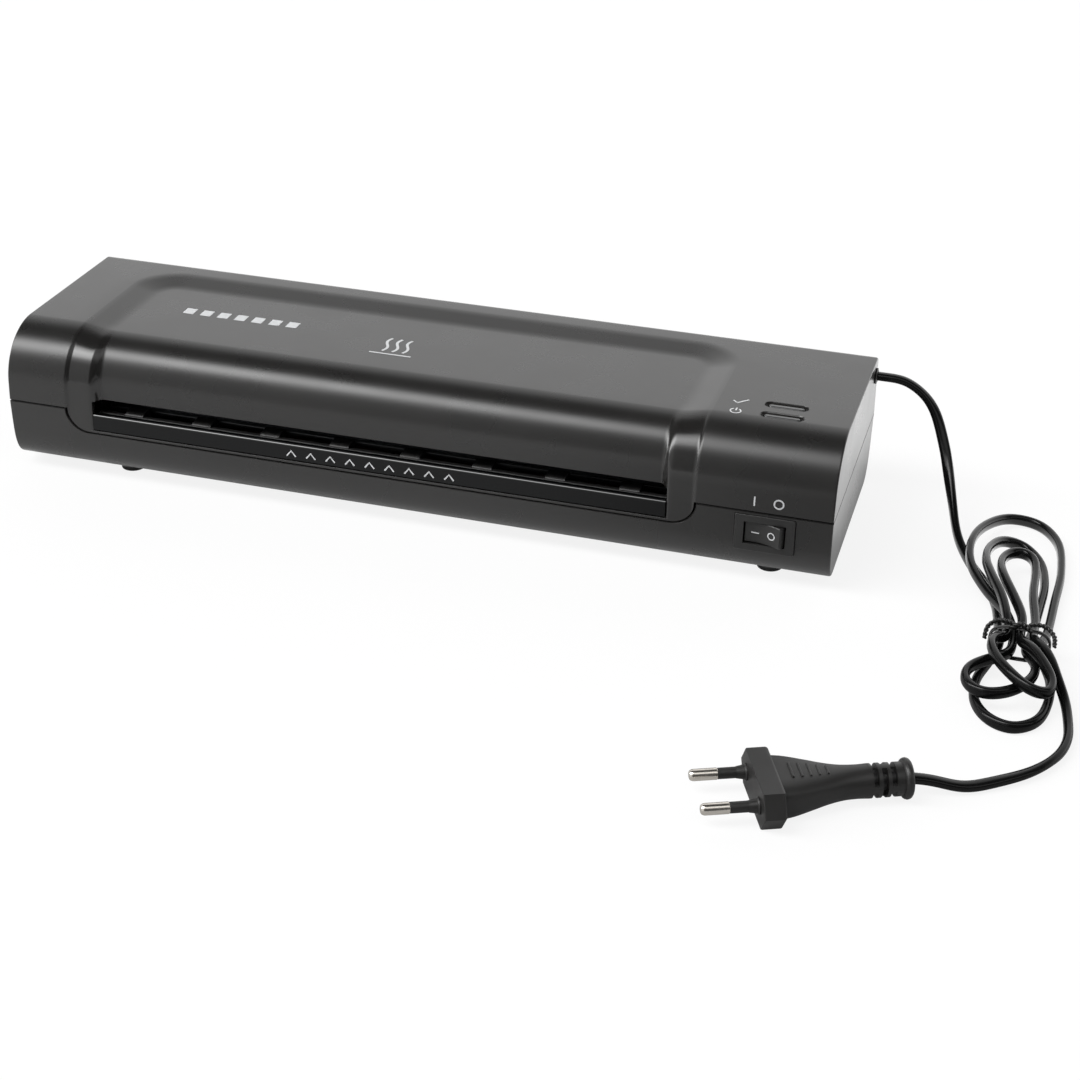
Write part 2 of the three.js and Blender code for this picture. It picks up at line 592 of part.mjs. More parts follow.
// A bent steel side frame: a sheet with two windows for the bushes, two feet and a tab over the spring.
function sideFrame(inner, side) {
  const outerFace = inner - side * FRAME_SHEET;
  const [x0, x1] = [Math.min(inner, outerFace), Math.max(inner, outerFace)];
  const [frontY, backY] = [-32, 36];
  const outline = polygon([
    [frontY, FRAME_FLOOR_Z],
    [backY, FRAME_FLOOR_Z],
    [backY, 38],
    [28, FRAME_TOP_Z],
    [-24, FRAME_TOP_Z],
    [frontY, 40],
  ]);
  const sheet = alongX(outline, x0, x1);
  const fold = (y0, y1, z0, z1, reach) => {
    const [near, far] = [inner - side * FRAME_SHEET, inner + side * reach];
    return box(Math.min(near, far), Math.max(near, far), y0, y1, z0, z1);
  };
  const springTab = fold(ROLLER_Y - 5, ROLLER_Y + 5, FRAME_TOP_Z, FRAME_TOP_Z + FRAME_SHEET, 6);
  const screwRows = FRAME_SCREWS.slice(0, 2).map(([, , y]) => y);
  const floorTop = FRAME_FLOOR_Z + FRAME_SHEET;
  const feet = screwRows.map((y) => fold(y - 5, y + 5, FRAME_FLOOR_Z, floorTop, 11));
  const screwHoles = screwRows.map((y) => barZ(1.5 + GAP, 5, 12, inner + side * FRAME_SCREW_INSET, y, 12));
  const window = (centreZ, room) => {
    const [halfY, halfZ] = [BOSS_WIDTH / 2 + GAP, BOSS_HEIGHT / 2 + GAP];
    return box(x0 - 1, x1 + 1, ROLLER_Y - halfY, ROLLER_Y + halfY, centreZ - halfZ, centreZ + halfZ + room);
  };
  const lowerWindow = window(LOWER_ROLLER_Z, 0);
  const upperWindow = window(UPPER_ROLLER_Z, BUSH_TRAVEL);
  const pathOpening = box(x0 - 1, x1 + 1, frontY - 1, 6, PATH_Z - 3, PATH_Z + 3);
  return cut(join(sheet, springTab, ...feet), ...screwHoles, lowerWindow, upperWindow, pathOpening);
}

// A compression spring that presses an upper bush down.
function pressureSpring(x) {
  const [bottom, top] = [UPPER_ROLLER_Z + BUSH_SIZE / 2 + GAP, FRAME_TOP_Z - GAP];
  const [coilRadius, wireRadius, turns] = [2.5, 0.4, 3.5];
  const rise = top - bottom - 2 * wireRadius;
  class Helix extends THREE.Curve {
    getPoint(t, target = new THREE.Vector3()) {
      const angle = t * turns * 2 * Math.PI;
      const height = bottom + wireRadius + rise * t;
      return target.set(x + coilRadius * Math.cos(angle), ROLLER_Y + coilRadius * Math.sin(angle), height);
    }
  }
  return wire(new Helix(), wireRadius, turns * 10, 2);
}

// ---------------------------------------------------------------- heaters and guides
// A bent plate of hard-anodised aluminium beside the pouch path. up is +1 for the plate above the path.
function heaterPlate(up) {
  const face = PATH_Z + up * 1.5;
  const back = face + up * 1.5;
  const profile = polygon([
    [-36, face + up * 2.6],
    [-32.5, face],
    [5, face],
    [5, back + up * 3],
    [3.5, back + up * 3],
    [3.5, back],
    [-31.8, back],
    [-36, back + up * 3.1],
  ]);
  return alongX(profile, ROLLER_LEFT, ROLLER_RIGHT);
}

function heatingElement(up) {
  const near = PATH_Z + up * (3 + GAP);
  const far = near + up * 2.6;
  const strip = box(SLOT_X - 105, SLOT_X + 105, -24, -8, Math.min(near, far), Math.max(near, far));
  const lugZ = (near + far) / 2;
  const lugs = [-1, 1].map((end) => centredBox([SLOT_X + end * 108, -16, lugZ], [8, 5, 0.8]));
  return join(strip, ...lugs);
}

// The infeed guide: a sloping floor behind the lip, with ribs that carry the pouch over the heater's edge.
function infeedGuide() {
  const floor = alongX(
    polygon([[-44.8, 19], [-44.8, 24.8], [-41, 24], [-38, 22.2], [-38, 19]]),
    SLOT_LEFT + 1,
    SLOT_RIGHT - 1,
  );
  const ribProfile = polygon([[-43.6, 22], [-43.6, 24.6], [-41.6, 25.4], [-36.6, 25.4], [-36.6, 22]]);
  const ribs = Array.from({ length: 8 }, (_, i) => {
    const centre = SLOT_X + (i - 3.5) * 29.5;
    return alongX(ribProfile, centre - 4, centre + 4);
  });
  return join(floor, ...ribs);
}

function exitGuide() {
  const floorProfile = polygon([[29, 20], [29, 24.4], [44.4, 24.4], [44.4, 22]]);
  const floor = alongX(floorProfile, SLOT_LEFT + 1, SLOT_RIGHT - 1);
  const ribProfile = polygon([[29.5, 23], [29.5, 25.2], [31, 26], [43, 26], [44.4, 25.2], [44.4, 23]]);
  const ribs = Array.from({ length: 9 }, (_, i) => {
    const centre = SLOT_X + (i - 4) * 28;
    return alongX(ribProfile, centre - 1.2, centre + 1.2);
  });
  return join(floor, ...ribs);
}

// ---------------------------------------------------------------- motor, boards and sensors
const MOTOR_X = GEAR_X + GEAR_WIDTH + 3;
const MOTOR_MOUNTS = [
  ["lower", MOTOR_Y - 19.5, MOTOR_Z - 12.5],
  ["upper", MOTOR_Y - 19.5, MOTOR_Z + 11.5],
];

function motor() {
  const can = barX(19, MOTOR_X + 1, MOTOR_X + 16, MOTOR_Y, MOTOR_Z, 28);
  const gearbox = barX(15, MOTOR_X + 15.5, MOTOR_X + 22, MOTOR_Y, MOTOR_Z, 20);
  const ears = alongX(roundedRectangle(MOTOR_Y - 15, MOTOR_Z - 0.5, 17, 33, 4), MOTOR_X, MOTOR_X + 1.2, 3);
  const holes = MOTOR_MOUNTS.map(([, y, z]) => barX(1.5 + GAP, MOTOR_X - 1, MOTOR_X + 3, y, z, 10));
  const shaftHole = barX(2 + GAP, MOTOR_X - 1, MOTOR_X + 9, MOTOR_Y, MOTOR_Z, 16);
  return cut(join(can, gearbox, ears), ...holes, shaftHole);
}

function motorPinion() {
  const wheel = gear(PINION_TEETH, pinionPhase(), 1, MOTOR_Y, MOTOR_Z);
  const shaft = barX(2, GEAR_X, MOTOR_X + 8, MOTOR_Y, MOTOR_Z, 16);
  return join(wheel, shaft);
}

// A post on the right side frame that carries the motor's mounting plate.
function motorPost(y, z) {
  const [x0, x1] = [FRAME_RIGHT_X + FRAME_SHEET + GAP, MOTOR_X - GAP];
  return cut(barX(3.2, x0, x1, y, z, 6), barX(1.5 + GAP, x1 - 6, x1 + 1, y, z, 10));
}

function motorScrew(y, z) {
  const headX = MOTOR_X + 1.2 + GAP;
  return join(barX(1.5, MOTOR_X - 4, headX + 0.4, y, z, 10), barX(2.8, headX, headX + 2, y, z, 12));
}

// An upright screw with its head at one end. headZ is the face of the head that bears on the work.
function uprightScrew(x, y, headZ, tipZ) {
  const towards = Math.sign(headZ - tipZ);
  const [z0, z1] = [Math.min(tipZ, headZ + towards), Math.max(tipZ, headZ + towards)];
  const [h0, h1] = [Math.min(headZ, headZ + towards * 2.2), Math.max(headZ, headZ + towards * 2.2)];
  const drive = (width, depth) => centredBox([x, y, headZ + towards * 2.2], [width, depth, 2.4]);
  return cut(join(barZ(1.5, z0, z1, x, y, 8), barZ(2.9, h0, h1, x, y, 12)), drive(3.4, 0.8));
}

function circuitBoard() {
  const board = box(126, 162, 21, 32, 5, 6.6);
  const connector = box(128, 136, 24, 29, 6, 12);
  const resistor = box(139, 145, 25, 27, 6, 8.4);
  return join(board, connector, resistor);
}

function thermostat() {
  const plateTop = PATH_Z + 3 + GAP;
  const flange = alongZ(roundedRectangle(60, -2, 23, 6, 2.9), plateTop, plateTop + 1, 3);
  const can = barZ(4.4, plateTop, plateTop + 6, 60, -2, 16);
  const tabs = [-2.6, 2.6].map((x) => centredBox([60 + x, -2, plateTop + 8], [0.8, 4, 5]));
  return join(flange, can, ...tabs);
}

function indicatorLed(y) {
  const profile = [point(0, 49.8), point(1.1, 49.4), point(1.5, 48.5), point(1.5, 47), point(0, 47)];
  return new THREE.LatheGeometry(profile.reverse(), 10).rotateX(Math.PI / 2).translate(WINDOW_X, y, 0);
}

function indicatorBoard() {
  const board = box(WINDOW_X - 12, WINDOW_X + 8, POWER_Y - 4, READY_Y + 5, 45.3, 46.7);
  const resistors = [READY_Y, POWER_Y].map((y) => centredBox([WINDOW_X - 7, y, 47], [3, 1.6, 1.2]));
  return join(board, ...resistors);
}

// ---------------------------------------------------------------- cord and plug
// The cord's centre line: out of the end of the case, down to the table, back and forth through the tie as a
// coiled hank, and on to the plug. Hank points are offsets from the tie.
const TABLE_Z = -FOOT_DROP;
const LOW = TABLE_Z + CORD_RADIUS + 0.3; // a strand that lies on the table
const MID = LOW + 4.9; // a strand on top of that one
const HIGH = MID + 4.9;
const TIE_LOW = 0.3; // the lower row of strands inside the tie, which lifts them a little
const TIE_HIGH = TIE_LOW + 4.3; // the upper row

function cordPoints() {
  const fall = [
    [CORD_EXIT.x - 14, CORD_EXIT.y, CORD_EXIT.z],
    [CORD_EXIT.x - 6, CORD_EXIT.y, CORD_EXIT.z],
    [CORD_EXIT.x + 3, CORD_EXIT.y, CORD_EXIT.z],
    [181.5, CORD_EXIT.y, 46.7],
    [192, 39, 39.5],
    [199.5, 31, 26.5],
    [206, 16, 11.5],
    [211.5, 0, 2],
  ];
  const lowerRing = [
    [-6.9, 0, TIE_LOW], [-9.5, -9, LOW], [-12.4, -22, LOW], [-11.5, -36, LOW], [-5.5, -46, LOW],
    [2.5, -49, LOW], [10, -43, LOW], [13, -30, LOW], [12.6, -15, LOW], [9.7, -6, LOW + 0.6],
  ];
  const outerLoop = [
    [6.9, 0, TIE_LOW], [8.8, 14, LOW + 0.4], [9.8, 40, LOW], [10.4, 64, LOW], [7, 88, LOW],
    [-1.5, 100, LOW], [-12, 99, LOW + 1.4], [-20.5, 86, MID - 1], [-24.5, 68, MID + 0.9],
    [-23, 51, MID + 0.5], [-15.6, 34, MID], [-7, 19.5, MID], [-3, 8.5, MID - 1.1],
  ];
  const middleRing = [
    [-2.3, 0, TIE_LOW], [-4, -8, MID - 1.5], [-10, -16, MID], [-15.5, -23, MID], [-15.6, -32, MID],
    [-9.5, -37.8, MID], [-1, -34.5, MID], [6.2, -24, MID], [6.8, -13, MID - 0.4], [3.7, -5, TIE_LOW + 1],
  ];
  const middleLoop = [
    [2.3, 0, TIE_LOW], [3.6, 13, LOW + 0.6], [4.8, 34, LOW], [5.2, 52, LOW], [2, 69, LOW],
    [-5.5, 78, LOW + 1.2],
    [-12.8, 75, MID - 1], [-17, 64, MID + 1.4], [-17.6, 51, MID + 3.6], [-14.6, 37.5, HIGH],
    [-9.2, 22.5, HIGH], [-6, 10.5, HIGH - 1.2],
  ];
  const upperRing = [
    [-4.6, 0, TIE_HIGH], [-8.2, -6, HIGH - 0.9], [-9.4, -13, HIGH + 0.3], [-6.4, -22, HIGH + 0.3],
    [-0.6, -30.5, HIGH], [5.8, -36.2, HIGH - 1], [11.9, -36, MID + 2.4], [13.6, -29, MID + 2.6],
    [9.8, -19, HIGH - 1], [4.6, -10, HIGH - 0.6], [1, -4.5, TIE_HIGH + 1.3],
  ];
  const innerLoop = [
    [0, 0, TIE_HIGH], [-0.3, 11, TIE_HIGH + 1.6], [-3.8, 22, HIGH - 1], [-9, 36, HIGH - 0.6],
    [-11.6, 47, HIGH - 1.6], [-11.2, 56, MID + 2.2], [-8.2, 62, MID + 1.8], [-4, 63.4, MID + 1.4],
    [-0.4, 60, MID + 1.2], [1.2, 51, MID + 0.8], [1.8, 34, MID + 0.8], [4.4, 13, MID + 1],
  ];
  const away = [
    [4.6, 0, TIE_HIGH], [7.6, -5, TIE_HIGH + 1.4], [11.6, -12.5, TIE_HIGH + 0.9], [15, -21, LOW + 4.9],
    [18.6, -29.5, LOW + 1.6], [20.6, -40, LOW], [21.2, -50, LOW], [19, -60.5, LOW], [11.5, -72.5, LOW],
    [1, -81.8, LOW], [-9, -88.2, LOW],
  ];
  const arriving = [[-22.6, 58, LOW], [-16.7, 47, LOW], [-11.4, 33, LOW], [-8.4, 15, LOW]];
  const upperPasses = [outerLoop, middleLoop, innerLoop];
  const lowerPasses = [lowerRing, middleRing, upperRing];
  const turns = lowerPasses.flatMap((ring, i) => [...ring, ...upperPasses[i]]);
  const hank = [...arriving, ...turns, ...away];
  const plugAxis = new THREE.Vector3(Math.cos(PLUG_TURN), Math.sin(PLUG_TURN), 0);
  const behindFace = (distance) => PLUG_FACE.clone().addScaledVector(plugAxis, -distance);
  const tail = [
    behindFace(PLUG_LENGTH + 7).setZ(PLUG_FACE.z - 1.4),
    behindFace(PLUG_LENGTH),
    behindFace(PLUG_LENGTH - 4),
  ];
  return [
    ...fall.map(([x, y, z]) => new THREE.Vector3(x, y, z)),
    ...hank.map(([x, y, z]) => new THREE.Vector3(HANK.x + x, HANK.y + y, z)),
    ...tail,
  ];
}

function powerCord() {
  return wire(new THREE.CatmullRomCurve3(cordPoints()), CORD_RADIUS, 260, 3);
}

// A wire tie round the bundled strands, twisted into two short tails on top.
const TIE_HALF_WIDTH = 10.6;
const TIE_HALF_HEIGHT = 5.6;
const TIE_WIRE_RADIUS = 0.8;

function cordTie() {
  const centreZ = TABLE_Z + TIE_WIRE_RADIUS + TIE_HALF_HEIGHT;
  const rounded = (value) => Math.sign(value) * Math.abs(value) ** 0.6;
  const steps = 20;
  const sides = 6;
  const rings = Array.from({ length: steps }, (_, i) => {
    const angle = (i / steps) * 2 * Math.PI;
    const out = point(rounded(Math.cos(angle)) * TIE_HALF_WIDTH, rounded(Math.sin(angle)) * TIE_HALF_HEIGHT);
    const centre = new THREE.Vector3(HANK.x + out.x, HANK.y + 1.2 * Math.sin(angle), centreZ + out.y);
    out.normalize();
    return Array.from({ length: sides }, (_, k) => {
      const turn = (k / sides) * 2 * Math.PI;
      const along = TIE_WIRE_RADIUS * Math.cos(turn);
      const offset = new THREE.Vector3(along * out.x, TIE_WIRE_RADIUS * Math.sin(turn), along * out.y);
      return offset.add(centre);
    });
  });
  const topZ = centreZ + TIE_HALF_HEIGHT;
  const tailPoints = [
    [[-0.5, 0.8, -0.1], [-4, 1.5, 2], [-8.6, 0.8, 2.4], [-11.8, -2.5, 1], [-12.2, -7, -1.6]],
    [[0.5, 0.8, -0.1], [4, 2.5, 1.8], [8.6, 2.2, 1.8], [11.8, -1.6, 0.6], [12.4, -6, -1.4]],
  ];
  const tails = tailPoints.map((offsets) => {
    const bend = offsets.map(([x, y, z]) => new THREE.Vector3(HANK.x + x, HANK.y + y, topZ + z));
    return solid(wire(new THREE.CatmullRomCurve3(bend), TIE_WIRE_RADIUS, 7, 2));
  });
  return join(solid(closedSkin(rings)), ...tails);
}

// A ring-shaped skin through rings of equally many points.
function closedSkin(rings) {
  const count = rings[0].length;
  const positions = rings.flat().flatMap((p) => [p.x, p.y, p.z]);
  const index = [];
  rings.forEach((_, ring) => {
    const next = (ring + 1) % rings.length;
    for (let k = 0; k < count; k++) {
      const side = (k + 1) % count;
      const [a, b, c, d] = [ring * count + k, ring * count + side, next * count + side, next * count + k];
      index.push(a, b, c, a, c, d);
    }
  });
  const geometry = new THREE.BufferGeometry();
  geometry.setAttribute("position", new THREE.Float32BufferAttribute(positions, 3));
  geometry.setIndex(index);
  return geometry;
}

// The plug in its own frame: the face at x = 0, pins along +X, the cord leaving along -X.
const PIN_SPACING = 18.6;
const SLEEVE_LENGTH = 9.6;
const PIN_LENGTH = 19;

// An oval section of the handle, in the plane x.
function ovalRing(x, width, height, sides = 16) {
  const squared = (value) => Math.sign(value) * Math.abs(value) ** 0.75;
  return Array.from({ length: sides }, (_, k) => {
    const angle = (k / sides) * 2 * Math.PI;
    const [across, up] = [squared(Math.cos(angle)), squared(Math.sin(angle))];
    return new THREE.Vector3(x, (across * width) / 2, (up * height) / 2);
  });
}

// The slots that make the neck flexible: a groove round it with two webs left, at the top and bottom or at
// the sides.
function neckGroove(x, websAtSides) {
  const ring = cut(barX(6, x, x + 2, 0, 0, 12), barX(3.3, x - 1, x + 3, 0, 0, 12));
  const [halfY, halfZ] = websAtSides ? [9, 1.2] : [1.2, 9];
  return cut(ring, box(x - 1, x + 3, -halfY, halfY, -halfZ, halfZ));
}

function plugBody() {
  const flangeOutline = polygon([[-17.6, 0], [-13, -6.8], [13, -6.8], [17.6, 0], [13, 6.8], [-13, 6.8]]);
  const flange = alongX(flangeOutline, -7, 0);
  const sections = [
    [-37.5, 10.5, 9.5],
    [-32, 11, 10],
    [-26, 13.5, 11],
    [-18, 19, 12],
    [-11, 24, 12.6],
    [-6, 26, 12.6],
  ];
  const handle = solid(skin(sections.map(([x, width, height]) => ovalRing(x, width, height))));
  const neck = barX(4.6, -PLUG_LENGTH + 1, -37, 0, 0, 16);
  const collar = barX(6.7, -PLUG_LENGTH, -PLUG_LENGTH + 2.6, 0, 0, 24);
  const ridges = [0, 1, 2, 3, 4].map((i) => centredBox([-12 - 3 * i, 0, 0], [0.9, 8, 13.4 - 0.27 * i]));
  const pinY = [-PIN_SPACING / 2, PIN_SPACING / 2];
  const sleeves = pinY.map((y) => barX(1.9, -1, SLEEVE_LENGTH, y, 0, 16));
  const pinBores = pinY.map((y) => barX(1.2 + GAP, -5, PIN_LENGTH, y, 0, 12));
  const cordBore = barX(CORD_RADIUS + GAP + 0.2, -PLUG_LENGTH - 1, -PLUG_LENGTH + 6, 0, 0, 16);
  const grooved = cut(join(handle, neck), neckGroove(-46.5, true), neckGroove(-41, false));
  return cut(join(grooved, flange, collar, ...ridges, ...sleeves), ...pinBores, cordBore);
}

function plugPin(side) {
  const tip = SLEEVE_LENGTH + GAP;
  const profile = [
    point(0, -4), point(1.2, -4), point(1.2, tip), point(2, tip), point(2, PIN_LENGTH - 1.4),
    point(1.5, PIN_LENGTH - 0.4), point(0, PIN_LENGTH),
  ];
  const turned = new THREE.LatheGeometry(profile, 16);
  return turned.rotateZ(-Math.PI / 2).translate(0, (side * PIN_SPACING) / 2, 0);
}

// The grommet that holds the cord where it leaves the case.
function cordGrommet() {
  const { y, z } = CORD_EXIT;
  const stem = barX(GROMMET_RADIUS, HALF_LENGTH - 5, HALF_LENGTH + 1, y, z, 14);
  const outerFlange = barX(GROMMET_RADIUS + 0.5, HALF_LENGTH + GAP, HALF_LENGTH + 1.2, y, z, 16);
  const innerFlange = barX(GROMMET_RADIUS + 1.2, HALF_LENGTH - 5, HALF_LENGTH - WALL - GAP, y, z, 12);
  const bore = barX(CORD_RADIUS + GAP, HALF_LENGTH - 8, HALF_LENGTH + 4, y, z, 12);
  return cut(join(stem, outerFlange, innerFlange), bore);
}

// ---------------------------------------------------------------- assembly
piece("top_cover", "case", topCover());
piece("base_case", "case", baseCase());
piece("front_trim", "gloss", frontTrim());
for (const [where, x, y] of FEET) piece("foot_" + where, "rubber", foot(x, y));
for (const [where, x, y] of CASE_SCREWS) {
  piece("case_screw_" + where, "steel", uprightScrew(x, y, COUNTERBORE_TOP_Z - GAP, 34));
}

piece("switch_housing", "switch", switchHousing());
const rockerPivot = new THREE.Group();
rockerPivot.position.set(SWITCH_X, ROCKER_AXIS_Y, SWITCH_Z);
rockerPivot.rotation.z = -ROCKER_TILT; // on: the left side is pressed in
piece("rocker", "switch", rockerShape(), rockerPivot);
laminator.add(rockerPivot);
piece("ready_lens", "lens", indicatorLens(READY_Y));
piece("power_lens", "lens", indicatorLens(POWER_Y));
piece("indicator_board", "board", indicatorBoard());
piece("ready_led", "lens", indicatorLed(READY_Y));
piece("power_led", "lens", indicatorLed(POWER_Y));

piece("side_frame_left", "steel", sideFrame(FRAME_LEFT_X, 1));
piece("side_frame_right", "steel", sideFrame(FRAME_RIGHT_X, -1));
for (const [where, x, y] of FRAME_SCREWS) {
  piece("frame_screw_" + where, "steel", uprightScrew(x, y, FRAME_FLOOR_Z + 1.2 + GAP, 3.4));
}
for (const [level, z] of [["lower", LOWER_ROLLER_Z], ["upper", UPPER_ROLLER_Z]]) {
  piece(level + "_roller", "silicone", rollerSleeve(z));
  piece(level + "_roller_shaft", "steel", rollerShaft(z));
  piece(level + "_roller_gear", "nylon", gear(ROLLER_TEETH, Math.PI / 2, BORE_RADIUS, ROLLER_Y, z));
  piece(level + "_bush_left", "nylon", bush(FRAME_LEFT_X, 1, z));
  piece(level + "_bush_right", "nylon", bush(FRAME_RIGHT_X, -1, z));
}
const springInset = GAP + BUSH_WIDTH / 2 + 1;
piece("pressure_spring_left", "steel", pressureSpring(FRAME_LEFT_X + springInset));
piece("pressure_spring_right", "steel", pressureSpring(FRAME_RIGHT_X - springInset));

for (const [level, up] of [["lower", -1], ["upper", 1]]) {
  piece("heater_plate_" + level, "aluminium", heaterPlate(up));
  piece("heating_element_" + level, "ceramic", heatingElement(up));
}
piece("infeed_guide", "dark", infeedGuide());
piece("exit_guide", "dark", exitGuide());
piece("thermostat", "dark", thermostat());
const fuseZ = PATH_Z + 3 + GAP + 1.6;
piece("thermal_fuse", "nickel", barX(1.5, 20, 32, -2, fuseZ, 14));

piece("motor", "steel", motor());
piece("motor_pinion", "nylon", motorPinion());
for (const [where, y, z] of MOTOR_MOUNTS) {
  piece("motor_post_" + where, "steel", motorPost(y, z));
  piece("motor_screw_" + where, "steel", motorScrew(y, z));
}
piece("circuit_board", "board", circuitBoard());

piece("cord_grommet", "pvc", cordGrommet());
piece("power_cord", "pvc", powerCord());
piece("cord_tie", "dark", cordTie());
const plug = new THREE.Group();
plug.position.copy(PLUG_FACE);
plug.rotation.z = PLUG_TURN;
piece("plug_body", "pvc", plugBody(), plug);
piece("plug_pin_left", "nickel", plugPin(1), plug);
piece("plug_pin_right", "nickel", plugPin(-1), plug);
laminator.add(plug);

export default laminator;
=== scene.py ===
"""A pouch laminator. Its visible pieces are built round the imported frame.

Lengths in the code are millimetres, in the frame's own axes, and MM turns them into Blender's metres. X runs
along the machine, -Y is its front and Z is up.
"""

import json
import math

import bmesh
import bpy
import numpy as np
from mathutils import Matrix, Vector

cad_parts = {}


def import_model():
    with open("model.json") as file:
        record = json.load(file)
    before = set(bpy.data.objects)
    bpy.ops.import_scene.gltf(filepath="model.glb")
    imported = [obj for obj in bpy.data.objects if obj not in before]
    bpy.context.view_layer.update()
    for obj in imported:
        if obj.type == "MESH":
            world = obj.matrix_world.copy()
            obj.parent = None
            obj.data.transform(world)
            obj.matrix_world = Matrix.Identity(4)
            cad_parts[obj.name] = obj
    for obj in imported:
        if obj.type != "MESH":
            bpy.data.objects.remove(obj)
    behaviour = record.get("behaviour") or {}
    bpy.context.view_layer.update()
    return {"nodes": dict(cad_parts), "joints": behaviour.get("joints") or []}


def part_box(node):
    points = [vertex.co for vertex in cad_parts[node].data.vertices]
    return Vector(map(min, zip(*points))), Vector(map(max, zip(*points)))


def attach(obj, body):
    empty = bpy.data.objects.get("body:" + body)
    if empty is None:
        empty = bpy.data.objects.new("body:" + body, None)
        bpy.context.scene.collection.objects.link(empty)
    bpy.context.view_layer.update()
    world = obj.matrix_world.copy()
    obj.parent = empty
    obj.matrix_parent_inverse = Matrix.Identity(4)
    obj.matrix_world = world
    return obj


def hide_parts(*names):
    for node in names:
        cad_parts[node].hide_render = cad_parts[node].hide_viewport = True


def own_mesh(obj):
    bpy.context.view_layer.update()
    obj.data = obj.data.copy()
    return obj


MM = 0.001
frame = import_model()


def box_mm(node):
    """Lowest and highest corner of a CAD node."""
    low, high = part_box(node)
    return np.array(low) / MM, np.array(high) / MM


def centre_of(node):
    return sum(box_mm(node)) / 2


def joint_named(name):
    return next(joint for joint in frame["joints"] if joint["name"] == name)


# ---------------------------------------------------------------- sizes taken from the frame
GAP = 0.3  # clearance between neighbouring pieces
COVER_LOW, COVER_HIGH = box_mm("top_cover")
BASE_TOP_Z = box_mm("base_case")[1][2]
TRIM_LOW, TRIM_HIGH = box_mm("front_trim")
HALF_LENGTH, HALF_DEPTH, FRONT_HEIGHT = COVER_HIGH
APRON_BOTTOM_Z = COVER_LOW[2]
PARTING_Z = BASE_TOP_Z + GAP / 2
SLOT_LEFT, SLOT_RIGHT = TRIM_LOW[0] - GAP, TRIM_HIGH[0] + GAP
SLOT_X = (SLOT_LEFT + SLOT_RIGHT) / 2
LIP_Z = TRIM_HIGH[2]
TABLE_Z = box_mm("foot_front_left")[0][2]

# ---------------------------------------------------------------- sizes of the case's details
WALL = 2.2
SLOT_TOP_Z = LIP_Z + 5.2
LEG_WIDTH = 11.0  # the cover's two legs beside the slot
APRON_HALF = (SLOT_RIGHT - SLOT_LEFT) / 2 + LEG_WIDTH
APRON_CORNER = 9.5
LEG_STEP = 0.8  # the legs lie this far under the case's surface
LEG_WALL = 2.5  # run of the wall from a leg back to the front panel
PANEL_DEPTH = 5.2  # the front panel's set-back at the slot
RECESS_BACK_Y = 35.0
RECESS_CORNER = 20.0
RECESS_BAND = 10.5  # width of the ramp round the sunken panel on the top
RECESS_DEPTH = 2.0
BACK_HEIGHT = FRONT_HEIGHT - 1.7  # the flat top slopes down to here at the back
TOP_BACK_Y = 42.7  # back end of the flat top
FRONT_CURVE_Y, FRONT_CURVE_Z = -27.0, 34.0  # centre of the front curve, where the flat top ends
FRONT_Y = -49.6  # the front curve's foremost point
FRONT_WALL_TOP = (-49.9, 29.0)  # (y, z) where the leaning front wall above the parting line ends
EXIT_BOTTOM_Z, EXIT_TOP_Z = 25.2, 31.0  # the exit slot at the back
END_ROUND = 0.7  # rounding of the case's end edges
GROOVE = 0.45  # half width of the shadow groove on the parting line
BEZEL = np.array([23.0, 15.0])  # the switch's bezel
POCKET_FLOOR_Y = -48.0  # floor of the pocket that the bezel sits in
ROCKER_TILT = 0.2  # half the rocker's swing, in radians; at rest its left side is pressed in
PRINT_THICKNESS = 0.05
GROMMET_RADIUS = 2.8  # where it passes through the case
FEET = ["front_left", "front_right", "rear_left", "rear_right"]  # each foot has a case screw near it


def top_z(y):
    """The height of the flat top, before the recess is sunk in it."""
    return FRONT_HEIGHT + (BACK_HEIGHT - FRONT_HEIGHT) * (y - FRONT_CURVE_Y) / (TOP_BACK_Y - FRONT_CURVE_Y)


# ---------------------------------------------------------------- mesh building
def piece_from(mesh):
    """An object from a bmesh, with its faces turned outwards."""
    bmesh.ops.recalc_face_normals(mesh, faces=mesh.faces)
    data = bpy.data.meshes.new("piece")
    mesh.to_mesh(data)
    mesh.free()
    obj = bpy.data.objects.new("piece", data)
    bpy.context.scene.collection.objects.link(obj)
    return obj


def solid(points, faces):
    """A closed solid from points in millimetres."""
    data = bpy.data.meshes.new("points")
    data.from_pydata([tuple(p) for p in np.asarray(points, float) * MM], [], [tuple(f) for f in faces])
    data.validate()
    mesh = bmesh.new()
    mesh.from_mesh(data)
    return piece_from(mesh)


def loft(rings, closed=False):
    """A closed solid through rings of equally many points. Its ends are capped, or joined when closed."""
    count = len(rings[0])
    faces = []
    for i in range(len(rings) if closed else len(rings) - 1):
        here, there = i * count, (i + 1) % len(rings) * count
        for k in range(count):
            after = (k + 1) % count
            faces.append((here + k, here + after, there + after, there + k))
    if not closed:
        faces.append(tuple(range(count))[::-1])
        faces.append(tuple((len(rings) - 1) * count + k for k in range(count)))
    return solid(np.concatenate([np.asarray(r, float) for r in rings]), faces)


def directions(line):
    """Unit vectors along a line of points."""
    along = np.gradient(line, axis=0)
    return along / np.linalg.norm(along, axis=1)[:, None]


def left_of(outline):
    """Unit vectors to the left of a 2D line, which is inwards on an outline that runs anticlockwise."""
    along = directions(outline)
    return np.stack([-along[:, 1], along[:, 0]], axis=1)


def full_turn(steps):
    return np.linspace(0, 2 * math.pi, steps, endpoint=False)


def rounded_power(value, power):
    """The value raised to a power, with its sign kept."""
    return np.sign(value) * np.abs(value) ** power


